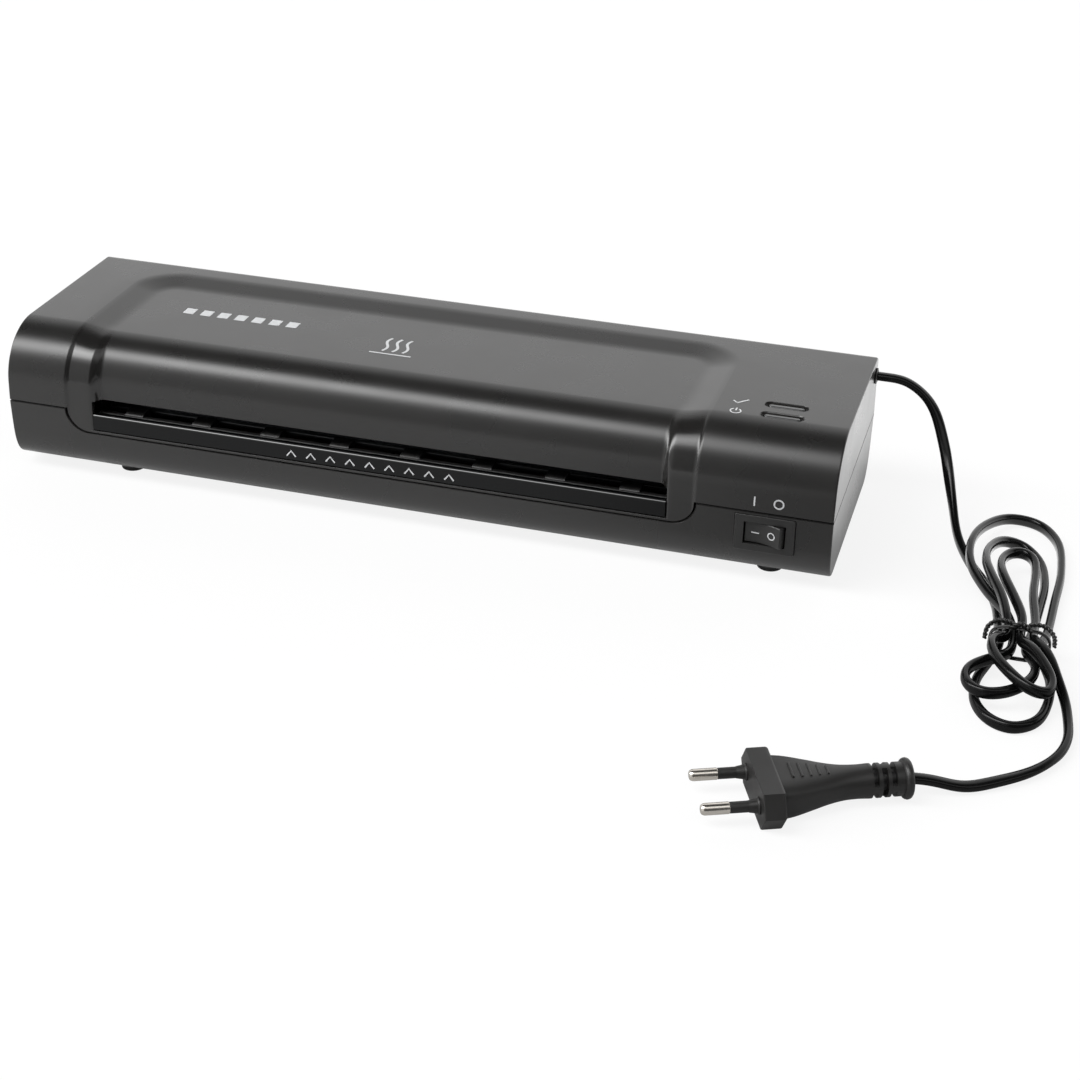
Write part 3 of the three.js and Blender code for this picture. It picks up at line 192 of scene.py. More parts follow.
def place(outline, axis, at):
    """A 2D outline set in space: axis 0 takes (y, z) points, axis 1 takes (x, z) and axis 2 takes (x, y)."""
    return np.insert(np.asarray(outline, float), axis, at, axis=1)


def stack(sections, axis=2):
    """A solid through outlines set at places along an axis, as (place, outline)."""
    return loft([place(outline, axis, at) for at, outline in sections])


def prism(outline, axis, start, end):
    return stack([(start, outline), (end, outline)], axis)


def arc(centre, radius, start, end, steps):
    """Points on a circle or, with two radii, an ellipse, between two angles in degrees."""
    angles = np.radians(np.linspace(start, end, steps + 1))
    rx, ry = radius if np.ndim(radius) else (radius, radius)
    return [(centre[0] + rx * math.cos(a), centre[1] + ry * math.sin(a)) for a in angles]


def rounded_rectangle(centre, size, radius, steps=6):
    """Outline of a rectangle with round corners."""
    half = np.array(size) / 2 - radius
    corners = [(1, -1, -90), (1, 1, 0), (-1, 1, 90), (-1, -1, 180)]
    return [
        p
        for sx, sy, start in corners
        for p in arc((centre[0] + sx * half[0], centre[1] + sy * half[1]), radius, start, start + 90, steps)
    ]


def bezier(points, steps):
    """Points on a Bezier curve of any degree."""
    points = np.array(points, float)
    out = []
    for t in np.linspace(0, 1, steps + 1):
        level = points
        while len(level) > 1:
            level = level[:-1] * (1 - t) + level[1:] * t
        out.append(tuple(level[0]))
    return out


def lathe(profile, segments, matrix):
    """A solid turned about Z from (radius, z) points that start and end on the axis."""
    rings, points, faces = [], [], []
    for radius, z in profile:
        start = len(points)
        if radius < 1e-6:
            points.append((0, 0, z))
            rings.append([start] * segments)
        else:
            points += [(x, y, z) for x, y in arc((0, 0), radius, 0, 360, segments)[:-1]]
            rings.append(list(range(start, start + segments)))
    for low, high in zip(rings, rings[1:]):
        for k in range(segments):
            after = (k + 1) % segments
            face = []
            for index in (low[k], low[after], high[after], high[k]):
                if index not in face:
                    face.append(index)
            if len(face) > 2:
                faces.append(face)
    return solid([matrix @ Vector(p) for p in points], faces)


def rod(radius, start, end):
    """The profile of a plain cylinder, for lathe."""
    return [(0, start), (radius, start), (radius, end), (0, end)]


def upright(profile, segments, x, y):
    """A solid turned about a vertical axis."""
    return lathe(profile, segments, Matrix.Translation((x, y, 0)))


def along_x(profile, segments=40, y=0.0, z=0.0):
    """A solid turned about an axis along X."""
    return lathe(profile, segments, Matrix.Translation((0, y, z)) @ Matrix.Rotation(math.pi / 2, 4, "Y"))


def block(low, high, bevel=0.0):
    """A box between two corners with rounded edges."""
    low, high = np.array(low, float), np.array(high, float)
    mesh = bmesh.new()
    bmesh.ops.create_cube(mesh, size=1.0)
    for vert in mesh.verts:
        vert.co = Vector((low + (np.array(vert.co) + 0.5) * (high - low)) * MM)
    if bevel:
        rounding = {"offset": bevel * MM, "segments": 3, "profile": 0.5, "affect": "EDGES"}
        bmesh.ops.bevel(mesh, geom=mesh.edges, **rounding)
    return piece_from(mesh)


def combine(target, operation, tools):
    """Joins the tools to the target, or cuts them from it, and deletes them."""
    for tool in tools:
        step = target.modifiers.new("step", "BOOLEAN")
        step.object, step.operation, step.solver = tool, operation, "MANIFOLD"
    graph = bpy.context.evaluated_depsgraph_get()
    mesh = bpy.data.meshes.new_from_object(target.evaluated_get(graph))
    target.modifiers.clear()
    target.data = mesh
    for tool in tools:
        bpy.data.objects.remove(tool)
    return target


def cut(target, *tools):
    return combine(target, "DIFFERENCE", tools)


def join(target, *tools):
    return combine(target, "UNION", tools)


def gather(parts):
    """One object that holds the meshes of several separate ones."""
    merged = bmesh.new()
    for part in parts:
        merged.from_mesh(part.data)
        bpy.data.objects.remove(part)
    return piece_from(merged)


def finish_piece(obj, name, look, nodes=(), body="chassis", angle=32, bevel=0.0):
    """Names a piece, shades it, gives it its material and puts it in the place of its CAD nodes."""
    obj.name = obj.data.name = name
    obj.data.shade_smooth()
    if bevel:
        edge = obj.modifiers.new("edges", "BEVEL")
        edge.width, edge.segments, edge.limit_method = bevel * MM, 2, "ANGLE"
        edge.angle_limit = math.radians(angle)
        angle = 60
    obj.data.set_sharp_from_angle(angle=math.radians(angle))
    weighted = obj.modifiers.new("normals", "WEIGHTED_NORMAL")
    weighted.keep_sharp, weighted.weight = True, 60
    obj.data.materials.clear()
    obj.data.materials.append(MATERIALS[look])
    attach(obj, body)
    if nodes:
        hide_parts(*nodes)
    return obj


# ---------------------------------------------------------------- materials
class Nodes:
    """Short calls for building a node tree."""

    def __init__(self, tree):
        self.tree = tree

    def feed(self, sockets, inputs):
        """Sets or links input sockets, given by name or by place."""
        for key, value in inputs.items():
            if isinstance(value, bpy.types.NodeSocket):
                self.tree.links.new(value, sockets[key])
            else:
                sockets[key].default_value = value

    def add(self, kind, inputs=None, **settings):
        node = self.tree.nodes.new(kind)
        for key, value in settings.items():
            setattr(node, key, value)
        self.feed(node.inputs, inputs or {})
        return node

    def paint(self, inputs):
        """Feeds the material's own shader."""
        shader = self.tree.nodes["Principled BSDF"]
        self.feed(shader.inputs, inputs)
        return shader

    def axes(self, vector):
        return self.add("ShaderNodeSeparateXYZ", {0: vector}).outputs

    def math(self, operation, a, b=0.0):
        return self.add("ShaderNodeMath", {0: a, 1: b}, operation=operation).outputs[0]

    def minus(self, a, b):
        return self.math("SUBTRACT", a, b)

    def times(self, product, *factors):
        for factor in factors:
            product = self.math("MULTIPLY", product, factor)
        return product

    def smooth_range(self, value, low, high, to_low=0.0, to_high=1.0):
        inputs = dict(enumerate((value, low, high, to_low, to_high)))
        return self.add("ShaderNodeMapRange", inputs, interpolation_type="SMOOTHSTEP").outputs[0]

    def noise(self, vector, scale, detail=2.0, rough=0.5):
        inputs = {"Vector": vector, "Scale": scale, "Detail": detail, "Roughness": rough}
        return self.add("ShaderNodeTexNoise", inputs).outputs["Fac"]

    def stretched(self, vector, scale):
        return self.add("ShaderNodeMapping", {"Vector": vector, "Scale": scale}).outputs[0]

    def bump(self, height, strength, distance_mm):
        inputs = {"Height": height, "Strength": strength, "Distance": distance_mm * MM}
        return self.add("ShaderNodeBump", inputs).outputs[0]

    def blend(self, factor, first, second):
        return self.add("ShaderNodeMix", {0: factor, 6: first, 7: second}, data_type="RGBA").outputs[2]


def shade(grey, warm=0.0):
    """A linear grey, slightly warm or, below zero, slightly cool."""
    return (grey * (1 + warm), grey, grey * (1 - warm), 1.0)


def darker(colour, share):
    return (*(c * share for c in colour[:3]), 1.0)


def new_material(name):
    """A material, its nodes, and the place of the shaded point in the object's axes."""
    material = bpy.data.materials.new(name)
    material.use_nodes = True
    nodes = Nodes(material.node_tree)
    return material, nodes, nodes.add("ShaderNodeTexCoord").outputs["Object"]


def window_shade_mask(nodes, at):
    """1 on the dishes of the two indicator windows and 0 on the rest of the case: the mask for the shade
    painted into the dishes.
    """
    low, high = box_mm("power_lens")[0], box_mm("ready_lens")[1]
    rim_z = top_z(high[1]) - 0.1
    inside = nodes.smooth_range(at[2], (rim_z - 0.1) * MM, rim_z * MM, 1.0, 0.0)
    for axis in (0, 1):
        for edge, before, after in ((low[axis], 0.0, 1.0), (high[axis], 1.0, 0.0)):
            near = nodes.smooth_range(at[axis], (edge - 0.2) * MM, (edge + 0.2) * MM, before, after)
            inside = nodes.times(inside, near)
    return inside


def case_plastic():
    """Black moulded plastic with a fine spark-eroded texture. The legs beside the slot are smoother. The
    window dishes reflect less, a painted shade for the shade in those recesses.
    """
    material, nodes, place_node = new_material("case_plastic")
    at = nodes.axes(place_node)
    from_slot = nodes.math("ABSOLUTE", nodes.minus(at[0], SLOT_X * MM))
    inner = (APRON_HALF - LEG_WIDTH - LEG_WALL) * MM
    after_inner = nodes.smooth_range(from_slot, inner - 0.4 * MM, inner + 0.4 * MM)
    before_outer = nodes.smooth_range(from_slot, (APRON_HALF - 1.2) * MM, (APRON_HALF - 0.4) * MM, 1.0, 0.0)
    in_front = nodes.smooth_range(at[1], -36 * MM, -30 * MM, 1.0, 0.0)
    polished = nodes.times(after_inner, before_outer, in_front)
    wear = nodes.noise(place_node, 38, 4)
    rough = nodes.smooth_range(wear, 0.3, 0.7, 0.265, 0.30)
    grain_strength = nodes.minus(0.16, nodes.times(polished, 0.14))
    nodes.paint({
        "Base Color": nodes.blend(wear, shade(0.0105, 0.03), shade(0.0135, 0.05)),
        "Roughness": nodes.minus(rough, nodes.times(polished, 0.12)),
        "IOR": 1.5,
        # Painted shade: the dishes of the indicator windows lose most of their reflection, standing in for
        # the shade inside those recesses.
        "Specular IOR Level": nodes.minus(0.5, nodes.times(window_shade_mask(nodes, at), 0.45)),
        "Normal": nodes.bump(nodes.noise(place_node, 2600, 1), grain_strength, 0.012),
    })
    return material


def plastic(name, grey, rough, warm=0.0, grain_scale=1800, grain=0.2, coat=0.0, spread=0.05, ior=1.5):
    """Plastic or rubber with a fine grain and a slight unevenness in colour and gloss."""
    material, nodes, place_node = new_material(name)
    patches = nodes.noise(place_node, 60, 4)
    nodes.paint({
        "Base Color": nodes.blend(patches, shade(grey * 0.85, warm), shade(grey * 1.15, warm)),
        "Roughness": nodes.smooth_range(patches, 0.3, 0.7, rough - spread, rough + spread),
        "IOR": ior,
        "Coat Weight": coat,
        "Coat Roughness": 0.06,
        "Normal": nodes.bump(nodes.noise(place_node, grain_scale), grain, 0.02),
    })
    return material


def cord_plastic():
    """Glossy PVC sheath with a soft waviness and slight smears."""
    material, nodes, place_node = new_material("cord_pvc")
    waves = nodes.noise(place_node, 120)
    nodes.paint({
        "Base Color": nodes.blend(waves, shade(0.003, -0.04), shade(0.005)),
        "Roughness": nodes.smooth_range(nodes.noise(place_node, 500), 0.3, 0.75, 0.17, 0.24),
        "IOR": 1.3,
        "Normal": nodes.bump(waves, 0.2, 0.08),
    })
    return material


def strip_plastic():
    """The glossy strip below the slot, with a polished top edge."""
    material = plastic("gloss_strip", 0.002, 0.13, -0.1, 1200, 0.02, 0.0, 0.02, 1.3)
    nodes = Nodes(material.node_tree)
    height = nodes.axes(nodes.add("ShaderNodeTexCoord").outputs["Object"])[2]
    nodes.paint({"Coat Weight": nodes.smooth_range(height, (LIP_Z - 0.9) * MM, (LIP_Z - 0.7) * MM)})
    return material


def coloured(name, colour, rough, grain_scale=900, grain=0.15):
    """A coloured plastic, rubber, ceramic or ink with slight patches."""
    material, nodes, place_node = new_material(name)
    patches = nodes.noise(place_node, 90, 3)
    nodes.paint({
        "Base Color": nodes.blend(patches, darker(colour, 0.82), colour),
        "Roughness": nodes.smooth_range(patches, 0.3, 0.7, rough - 0.06, rough + 0.06),
        "Normal": nodes.bump(nodes.noise(place_node, grain_scale), grain, 0.03),
    })
    return material


def metal(name, colour, rough, brushed=(1, 1, 1), scale=500, strength=0.12):
    """Bare or plated metal with fine lines; brushed stretches the lines along an axis."""
    material, nodes, place_node = new_material(name)
    lines = nodes.noise(nodes.stretched(place_node, brushed), scale, 4, 0.6)
    nodes.paint({
        "Base Color": nodes.blend(nodes.noise(place_node, 45, 3), darker(colour, 0.86), colour),
        "Roughness": nodes.smooth_range(lines, 0.25, 0.75, rough * 0.7, rough * 1.35),
        "Metallic": 1.0,
        "Normal": nodes.bump(lines, strength, 0.02),
    })
    return material


def board_material():
    """Green solder mask over a faint pattern of copper tracks."""
    material, nodes, place_node = new_material("circuit_board")
    inputs = {"Vector": place_node, "Scale": 380}
    cells = nodes.add("ShaderNodeTexVoronoi", inputs, feature="DISTANCE_TO_EDGE")
    over_copper = nodes.smooth_range(cells.outputs["Distance"], 0.05, 0.09, 1.0, 0.0)
    nodes.paint({
        "Base Color": nodes.blend(over_copper, (0.008, 0.075, 0.03, 1), (0.02, 0.15, 0.06, 1)),
        "Roughness": 0.28,
        "Normal": nodes.bump(over_copper, 0.3, 0.03),
    })
    return material


MATERIALS = {
    "case_plastic": case_plastic(),
    "gloss_strip": strip_plastic(),
    "switch_plastic": plastic("switch_plastic", 0.013, 0.42, 0.02, 2200, 0.2),
    "indicator_lens": plastic("indicator_lens", 0.012, 0.14, -0.05, 900, 0.03, 0.5, 0.03),
    "foot_rubber": plastic("foot_rubber", 0.008, 0.78, 0.0, 1500, 0.5),
    "cord_pvc": cord_plastic(),
    "plug_pvc": plastic("plug_pvc", 0.011, 0.46, 0.04, 2000, 0.35),
    "tie_plastic": plastic("tie_plastic", 0.006, 0.4, 0.0, 1200, 0.3),
    "pin_nickel": metal("pin_nickel", (0.78, 0.735, 0.67, 1), 0.2, (1, 1, 1), 700, 0.08),
    "steel": metal("steel", (0.56, 0.57, 0.58, 1), 0.36, (0.2, 1, 1), 700),
    "aluminium": metal("aluminium", (0.13, 0.134, 0.14, 1), 0.36, (0.05, 1, 1), 900),
    "roller_silicone": coloured("roller_silicone", (0.33, 0.045, 0.02, 1), 0.62, 700, 0.3),
    "nylon": coloured("nylon", (0.68, 0.66, 0.58, 1), 0.45),
    "circuit_board": board_material(),
    "ceramic": coloured("ceramic", (0.62, 0.54, 0.38, 1), 0.75, 500, 0.5),
    "guide_plastic": plastic("guide_plastic", 0.010, 0.45, 0.02, 1500, 0.2),
    "print": coloured("print", (0.62, 0.63, 0.64, 1), 0.5, 1500, 0.1),
}


# ---------------------------------------------------------------- the case's surface
def soft_min(a, b, k):
    h = np.maximum(k - np.abs(a - b), 0) / k
    return np.minimum(a, b) - h * h * k / 4


def soft_step(value, k):
    """Rises from 0 to 1 like a clamped ramp, with both its corners rounded."""
    return soft_min(-soft_min(-value, 0.0, k), 1.0, k)


def recess_depth(x, y, z):
    """How far the cover is sunk: the ramp and panel on the top run into the legs and the front panel."""
    side = APRON_HALF - np.abs(x - SLOT_X)
    back = RECESS_BACK_Y - y
    rounded = RECESS_CORNER - np.hypot(RECESS_CORNER - side, RECESS_CORNER - back)
    in_corner = (side < RECESS_CORNER) & (back < RECESS_CORNER)
    inward = np.where(in_corner, rounded, np.minimum(side, back))
    on_top = RECESS_DEPTH * soft_step(inward / RECESS_BAND, 0.22)
    fall = np.clip((FRONT_HEIGHT - z) / (FRONT_HEIGHT - SLOT_TOP_Z), 0, 1)
    panel = RECESS_DEPTH + (PANEL_DEPTH - RECESS_DEPTH) * fall
    on_front = LEG_STEP * soft_step(inward, 0.6)
    on_front += (panel - LEG_STEP) * soft_step((inward - LEG_WIDTH) / LEG_WALL, 0.5)
    towards_front = soft_step((FRONT_CURVE_Y - y) / 15, 0.3)
    return on_top + (on_front - on_top) * towards_front


def upper_outline(fine):
    """The cover's outline in (y, z), from under the parting line at the back, over the top, to the front."""
    floor_z = APRON_BOTTOM_Z - 1.5
    steps = 1 if fine else 3
    flat = list(np.arange(TOP_BACK_Y, 36, -2)) + list(np.arange(36, 12, -0.5 * steps))
    flat += list(np.arange(12, FRONT_CURVE_Y, -3))
    front_radii = (FRONT_CURVE_Y - FRONT_Y, FRONT_HEIGHT - FRONT_CURVE_Z)
    return np.array(
        [(HALF_DEPTH, z) for z in (floor_z, 24, PARTING_Z)]
        + [(48.8, 35), (47.5, 43)]
        + bezier([(46.3, BACK_HEIGHT - 3.2), (45.8, BACK_HEIGHT), (TOP_BACK_Y, BACK_HEIGHT)], 10 // steps)
        + [(y, top_z(y)) for y in flat[1:]]
        + arc((FRONT_CURVE_Y, FRONT_CURVE_Z), front_radii, 90, 180, 42 // steps)
        + [(-49.8, SLOT_TOP_Z), FRONT_WALL_TOP]
        + [(-HALF_DEPTH, z) for z in (PARTING_Z, 24, floor_z)]
    )


def lower_outline():
    """The base's outline in (y, z), from the parting line at the front, under the base, to the back."""
    front = bezier([(-49.3, 14), (-48.5, 5), (-46, 0), (-38, 0)], 16)
    back = bezier([(36, 0), (42, 0), (46, 4), (47.5, 12)], 16)
    edges = [(-HALF_DEPTH, BASE_TOP_Z), (-49.7, 20.5)], [(48.8, 20), (HALF_DEPTH, BASE_TOP_Z)]
    return np.array(edges[0] + front + back + edges[1])


def end_columns():
    """Columns across the rounded edge at the right end, as (x, how far the rounding sinks them)."""
    angles = np.radians(np.linspace(0, 90, 7))
    return [(HALF_LENGTH - END_ROUND * (1 - math.sin(a)), END_ROUND * (1 - math.cos(a))) for a in angles]


def with_ends(ends, between):
    """Columns along the case, from its left end to its right end."""
    return [(-x, sunk) for x, sunk in reversed(ends)] + [(x, 0) for x in between] + ends


def steps_inward(fine):
    """Distances inward from the apron's edge, close together where the surface steps."""
    if not fine:
        return [0, 1, 6, LEG_WIDTH, LEG_WIDTH + LEG_WALL, 20]
    runs = (-0.6, 2, 0.2), (2, 10, 0.8), (10, 14.8, 0.24), (15, 24, 0.75)
    return np.concatenate([np.arange(*run) for run in runs])


def cover_skin(further, fine):
    """The solid under the cover's surface, sunk by a further distance."""
    outline = upper_outline(fine)
    normals = left_of(outline)
    left = [SLOT_X - APRON_HALF + step for step in steps_inward(fine)]
    right = [2 * SLOT_X - x for x in reversed(left)]
    ends = end_columns() if fine else [(HALF_LENGTH - further, 0)]
    flat_left = np.linspace(-ends[0][0], left[0], 8)[1:-1]
    middle = np.linspace(left[-1], right[0], 34)[1:-1]
    flat_right = np.linspace(right[-1], ends[0][0], 12)[1:-1]
    rings = []
    for x, sunk in with_ends(ends, (*flat_left, *left, *middle, *right, *flat_right)):
        depth = further + sunk + recess_depth(x, outline[:, 0], np.maximum(outline[:, 1], PARTING_Z))
        rings.append(place(outline + normals * depth[:, None], 0, x))
    return loft(rings)


def apron_notch(grow, edge_z):
    """The U-shaped lower edge of the cover's front, in (x, z), from left to right, grown by a clearance."""
    half, radius = APRON_HALF + grow, APRON_CORNER + grow
    middle_z = APRON_BOTTOM_Z + APRON_CORNER
    return (
        [(SLOT_X - half, edge_z)]
        + arc((SLOT_X - half + radius, middle_z), radius, 180, 270, 10)
        + arc((SLOT_X + half - radius, middle_z), radius, 270, 360, 10)
        + [(SLOT_X + half, edge_z)]
    )


def under_cover(edge_z, shrink):
    """What lies under the cover's front edge, in (x, z): all below edge_z but for the apron."""
    far = HALF_LENGTH + 6
    return [(-far, edge_z)] + apron_notch(-shrink, edge_z) + [(far, edge_z), (far, 5), (-far, 5)]


def exit_slot():
    """What both shells leave open at the back, where the pouch comes out."""
    return block((SLOT_LEFT, 40, EXIT_BOTTOM_Z), (SLOT_RIGHT, HALF_DEPTH + 2, EXIT_TOP_Z))


def top_cover():
    cover = cut(cover_skin(0, True), cover_skin(WALL, False))
    edge_z = PARTING_Z + GAP / 2
    flare = [(-60, GROOVE), (-49.75, GROOVE), (-48.9, 0), (-46.6, 0)]
    front = stack([(y, under_cover(edge_z + out * 0.6, out)) for y, out in flare], 1)
    rear = block((-HALF_LENGTH - 5, -46.7, 0), (HALF_LENGTH + 5, HALF_DEPTH + 5, edge_z))
    slot = block((SLOT_LEFT, -HALF_DEPTH - 2, 10), (SLOT_RIGHT, -40, SLOT_TOP_Z))
    _, cord_y, cord_z = centre_of("cord_grommet")
    cord_hole = along_x(rod(GROMMET_RADIUS + GAP, HALF_LENGTH - 6, HALF_LENGTH + 3), 32, cord_y, cord_z)
    cover = cut(cover, front, rear, slot, exit_slot(), cord_hole, *window_cutters())
    bar_low = (SLOT_LEFT - 1, -HALF_DEPTH + LEG_STEP, APRON_BOTTOM_Z)
    cover = join(cover, block(bar_low, (SLOT_RIGHT + 1, -47, TRIM_LOW[2] - GAP), 0.2))
    finish_piece(cover, "cover_shell", "case_plastic", ["top_cover"])


def window_places():
    """Centres of the two indicator windows."""
    return [tuple(centre_of(lens)[:2]) for lens in ("ready_lens", "power_lens")]


def window_cutters():
    """Each window is a shallow dish with a sloped rim and a long hole in it."""
    cutters = []
    for centre in window_places():
        surface_z = top_z(centre[1])
        sizes = (-0.75, 15.6, 4.0), (-0.62, 16.2, 4.6), (0.0, 17.2, 5.6), (1.0, 18.8, 7.2)
        dish = [(surface_z + z, rounded_rectangle(centre, (w, h), h / 2 - 0.01, 8)) for z, w, h in sizes]
        hole = rounded_rectangle(centre, (14.6, 3.0), 1.49, 8)
        cutters += [stack(dish), prism(hole, 2, surface_z - 5, surface_z + 1)]
    return cutters


def base_shell_solid():
    outline = lower_outline()
    normals = left_of(outline)
    between = np.linspace(-HALF_LENGTH + END_ROUND, HALF_LENGTH - END_ROUND, 14)[1:-1]
    rings = []
    for x, sunk in with_ends(end_columns(), between):
        ring = outline + normals * sunk
        ring[0, 1] = ring[-1, 1] = BASE_TOP_Z
        rings.append(place(ring, 0, x))
    inner = outline + normals * WALL
    inner[0, 1] = inner[-1, 1] = BASE_TOP_Z + 5
    cavity = prism(inner, 0, -HALF_LENGTH + WALL, HALF_LENGTH - WALL)
    return cut(loft(rings), cavity)


def base_case():
    base = base_shell_solid()
    edge_z = BASE_TOP_Z
    feet = [centre_of("foot_" + where)[:2] for where in FEET]
    screws = [centre_of("case_screw_" + where)[:2] for where in FEET]
    ring = [(0, 1), (7.2, 1), (7.2, 0.0), (6.7, -1.2), (6.3, -1.7), (5.8, -1.8), (0, -1.8)]
    base = join(base, *[upright(ring, 48, *at) for at in feet])
    base = join(base, *[upright(rod(4.9, 1, edge_z - 0.2), 32, *at) for at in screws])
    bore = [(0, -1), (4.3, -1), (4.1, 0), (3.6, 0.5), (3.6, 14), (1.8, 14), (1.8, 40), (0, 40)]
    cutters = [upright(rod(5.5, -3, 1), 48, *at) for at in feet]
    cutters += [upright(bore, 32, *at) for at in screws]
    notch = [(-60, GAP + GROOVE), (-49.7, GAP + GROOVE), (-48.8, GAP), (-44.6, GAP)]
    cutters.append(stack([(y, apron_notch(grow, edge_z + 5)) for y, grow in notch], 1))
    cutters += [exit_slot(), *switch_pocket()]
    vent = ((-1, 4.6, 21.4), (0, 3.8, 20.6), (0.4, 3.2, 20), (4, 3.2, 20))
    for i in range(7):
        x = SLOT_X + (i - 3) * 26
        cutters += [stack([(z, rounded_rectangle((x, y), (w, h), w / 2 - 0.01)) for z, w, h in vent])
                    for y in (-22, 24)]
    far_x, far_y, groove_z = HALF_LENGTH + 2, HALF_DEPTH + 2, edge_z - GROOVE * 0.6
    end_x = HALF_LENGTH - 0.4
    grooves = (-far_x, far_x, -HALF_DEPTH + 0.35), (-far_x, -end_x, far_y), (end_x, far_x, far_y)
    for left, right, back in grooves:
        cutters.append(block((left, -far_y, groove_z), (right, back, edge_z + 2)))
    base = cut(base, *cutters)
    finish_piece(base, "base_shell", "case_plastic", ["base_case"])


def switch_centre():
    """The middle of the switch's front face."""
    x, _, z = centre_of("switch_housing")
    return x, box_mm("switch_housing")[0][1], z


def switch_pocket():
    """A shallow pocket for the bezel, with a hole for the switch's body in it."""
    x, _, z = switch_centre()
    gap = 0.22
    rim = rounded_rectangle((x, z), BEZEL + 2 * gap, 0.7, 4)
    hole = rounded_rectangle((x, z), BEZEL - 2.4, 0.4, 3)
    return [prism(rim, 1, POCKET_FLOOR_Y, -56), prism(hole, 1, -44, -56)]


# ---------------------------------------------------------------- strip, guides, switch and windows
def front_trim():
    """The glossy strip with its rounded lip."""
    _, front, bottom = TRIM_LOW
    back = TRIM_HIGH[1]
    lip = 1.25  # rounding of the lip
    profile = [(back, bottom), (back, LIP_Z - 0.6), (front + 2.7, LIP_Z)]
    profile += arc((front + lip, LIP_Z - lip), lip, 90, 180, 5)
    profile += [(front, bottom + 0.3), (front + 0.3, bottom)]
    trim = prism(profile, 0, TRIM_LOW[0], TRIM_HIGH[0])
    finish_piece(trim, "gloss_strip", "gloss_strip", ["front_trim"], angle=40, bevel=0.12)


def switch_bezel():
    """The bezel, nearly flush with the case, and the switch's body behind it."""
    x, front, z = switch_centre()
    front += 0.75
    edges = (front, 0.6), (front + 0.1, 0.2), (front + 0.3, 0.0), (POCKET_FLOOR_Y + 0.05, 0.0)
    bezel = stack([(y, rounded_rectangle((x, z), BEZEL - less, 0.6, 5)) for y, less in edges], 1)
    low, high = box_mm("rocker")
    half_width, half_height = 8.0, (high[2] - low[2]) / 2 + 0.3
    well = block((x - half_width, front - 2, z - half_height), (x + half_width, -38, z + half_height))
    back = box_mm("switch_housing")[1][1]
    body = block((x - 9.8, POCKET_FLOOR_Y - 0.2, z - 5.8), (x + 9.8, back - 8, z + 5.8), 0.3)
    tabs = [block((x + s - 0.4, -34, z - 2.4), (x + s + 0.4, back, z + 2.4), 0.1) for s in (-6, 0, 6)]
    bezel = cut(join(bezel, body, *tabs), well)
    finish_piece(bezel, "switch_bezel", "switch_plastic", ["switch_housing"], angle=40, bevel=0.1)


def rocker():
    """The rocker: a face with a shallow valley, between ends that are arcs about its pivot."""
    low, high = box_mm("rocker")
    pivot = Vector(joint_named("rocker_tilt")["pos_m"])
    to_frame = Matrix.Translation(pivot) @ Matrix.Rotation(-ROCKER_TILT, 4, "Z")
    height = (high[2] - low[2]) / 2
    reach, edge_angle, back_angle = 7.85, 25.7, 11.5  # the arcs' radius, and their ends in degrees
    half = reach * math.cos(math.radians(edge_angle))
    edge_y, valley = -reach * math.sin(math.radians(edge_angle)), 1.1
    profile = bezier([(-half, edge_y), (0, edge_y + 2 * valley), (half, edge_y)], 14)
    profile += arc((0, 0), reach, -edge_angle, back_angle, 8)[1:] + [(2.6, 5.2), (-2.6, 5.2)]
    profile += arc((0, 0), reach, 180 - back_angle, 180 + edge_angle, 8)[:-1]
    body = prism(profile, 2, -height, height)
    body.data.transform(to_frame)
    finish_piece(body, "rocker_cap", "switch_plastic", ["rocker"], "rocker", angle=30, bevel=0.35)

    def on_rocker(x, z, height):
        surface_y = edge_y + valley * (1 - (x / half) ** 2)
        return to_frame @ (Vector((x, surface_y - height, z)) * MM) / MM

    marks = stroke([(-4.6, 0), (-1.6, 0)], 0.42), ring_mark((3.3, 0), 1.35, 0.4)
    lay(marks, "rocker_marks", on_rocker, "rocker")


def window_lenses():
    """Smoked lenses: a flange under the wall and a bar with a rounded top that stands in the window."""
    for where, (x, y) in zip(("ready_lens", "power_lens"), window_places()):
        foot, top = box_mm(where)[0][2], top_z(y) - 0.35
        flange = prism(rounded_rectangle((x, y), (17.4, 5.5), 1, 4), 2, foot, foot + 1.3)
        bar = []
        for z, inset in ((foot + 0.5, 0), (top - 0.5, 0), (top - 0.3, 0.08), (top - 0.1, 0.3), (top, 0.6)):
            size = (14 - 2 * inset, 2.4 - 2 * inset)
            bar.append((z, rounded_rectangle((x, y), size, 1.19 - inset, 8)))
        lens = join(flange, stack(bar))
        finish_piece(lens, where + "_window", "indicator_lens", [where], angle=50)


def infeed_guide():
    """The floor behind the lip, with the ribs that show in the slot."""
    low, high = box_mm("infeed_guide")
    profile = [(-44.8, 19), (-44.8, 24.6), (-44.5, 24.8), (-41, 24), (-38, 22.2), (-38, 19)]
    floor = prism(profile, 0, low[0], high[0])
    rib = [(-43.6, 22), (-43.6, 24.7)] + bezier([(-43.6, 24.7), (-43.0, 25.4), (-41.4, 25.4)], 4)[1:]
    rib += [(-37.2, 25.4), (-36.6, 25.0), (-36.6, 22)]
    centres = [SLOT_X + (i - 3.5) * 29.5 for i in range(8)]
    floor = join(floor, *[prism(rib, 0, centre - 4, centre + 4) for centre in centres])
    finish_piece(floor, "infeed_floor", "guide_plastic", ["infeed_guide"], angle=30, bevel=0.2)


# ---------------------------------------------------------------- printed marks
def stroke(points, width):
    """Outline of a ribbon of constant width along a line of points."""
    points = np.array(points, float)
    across = left_of(points) * width / 2
    return [tuple(p) for p in points + across], [tuple(p) for p in points - across]


def ring_mark(centre, radius, width, start=0, end=360):
    return stroke(arc(centre, radius, start, end, 40), width)


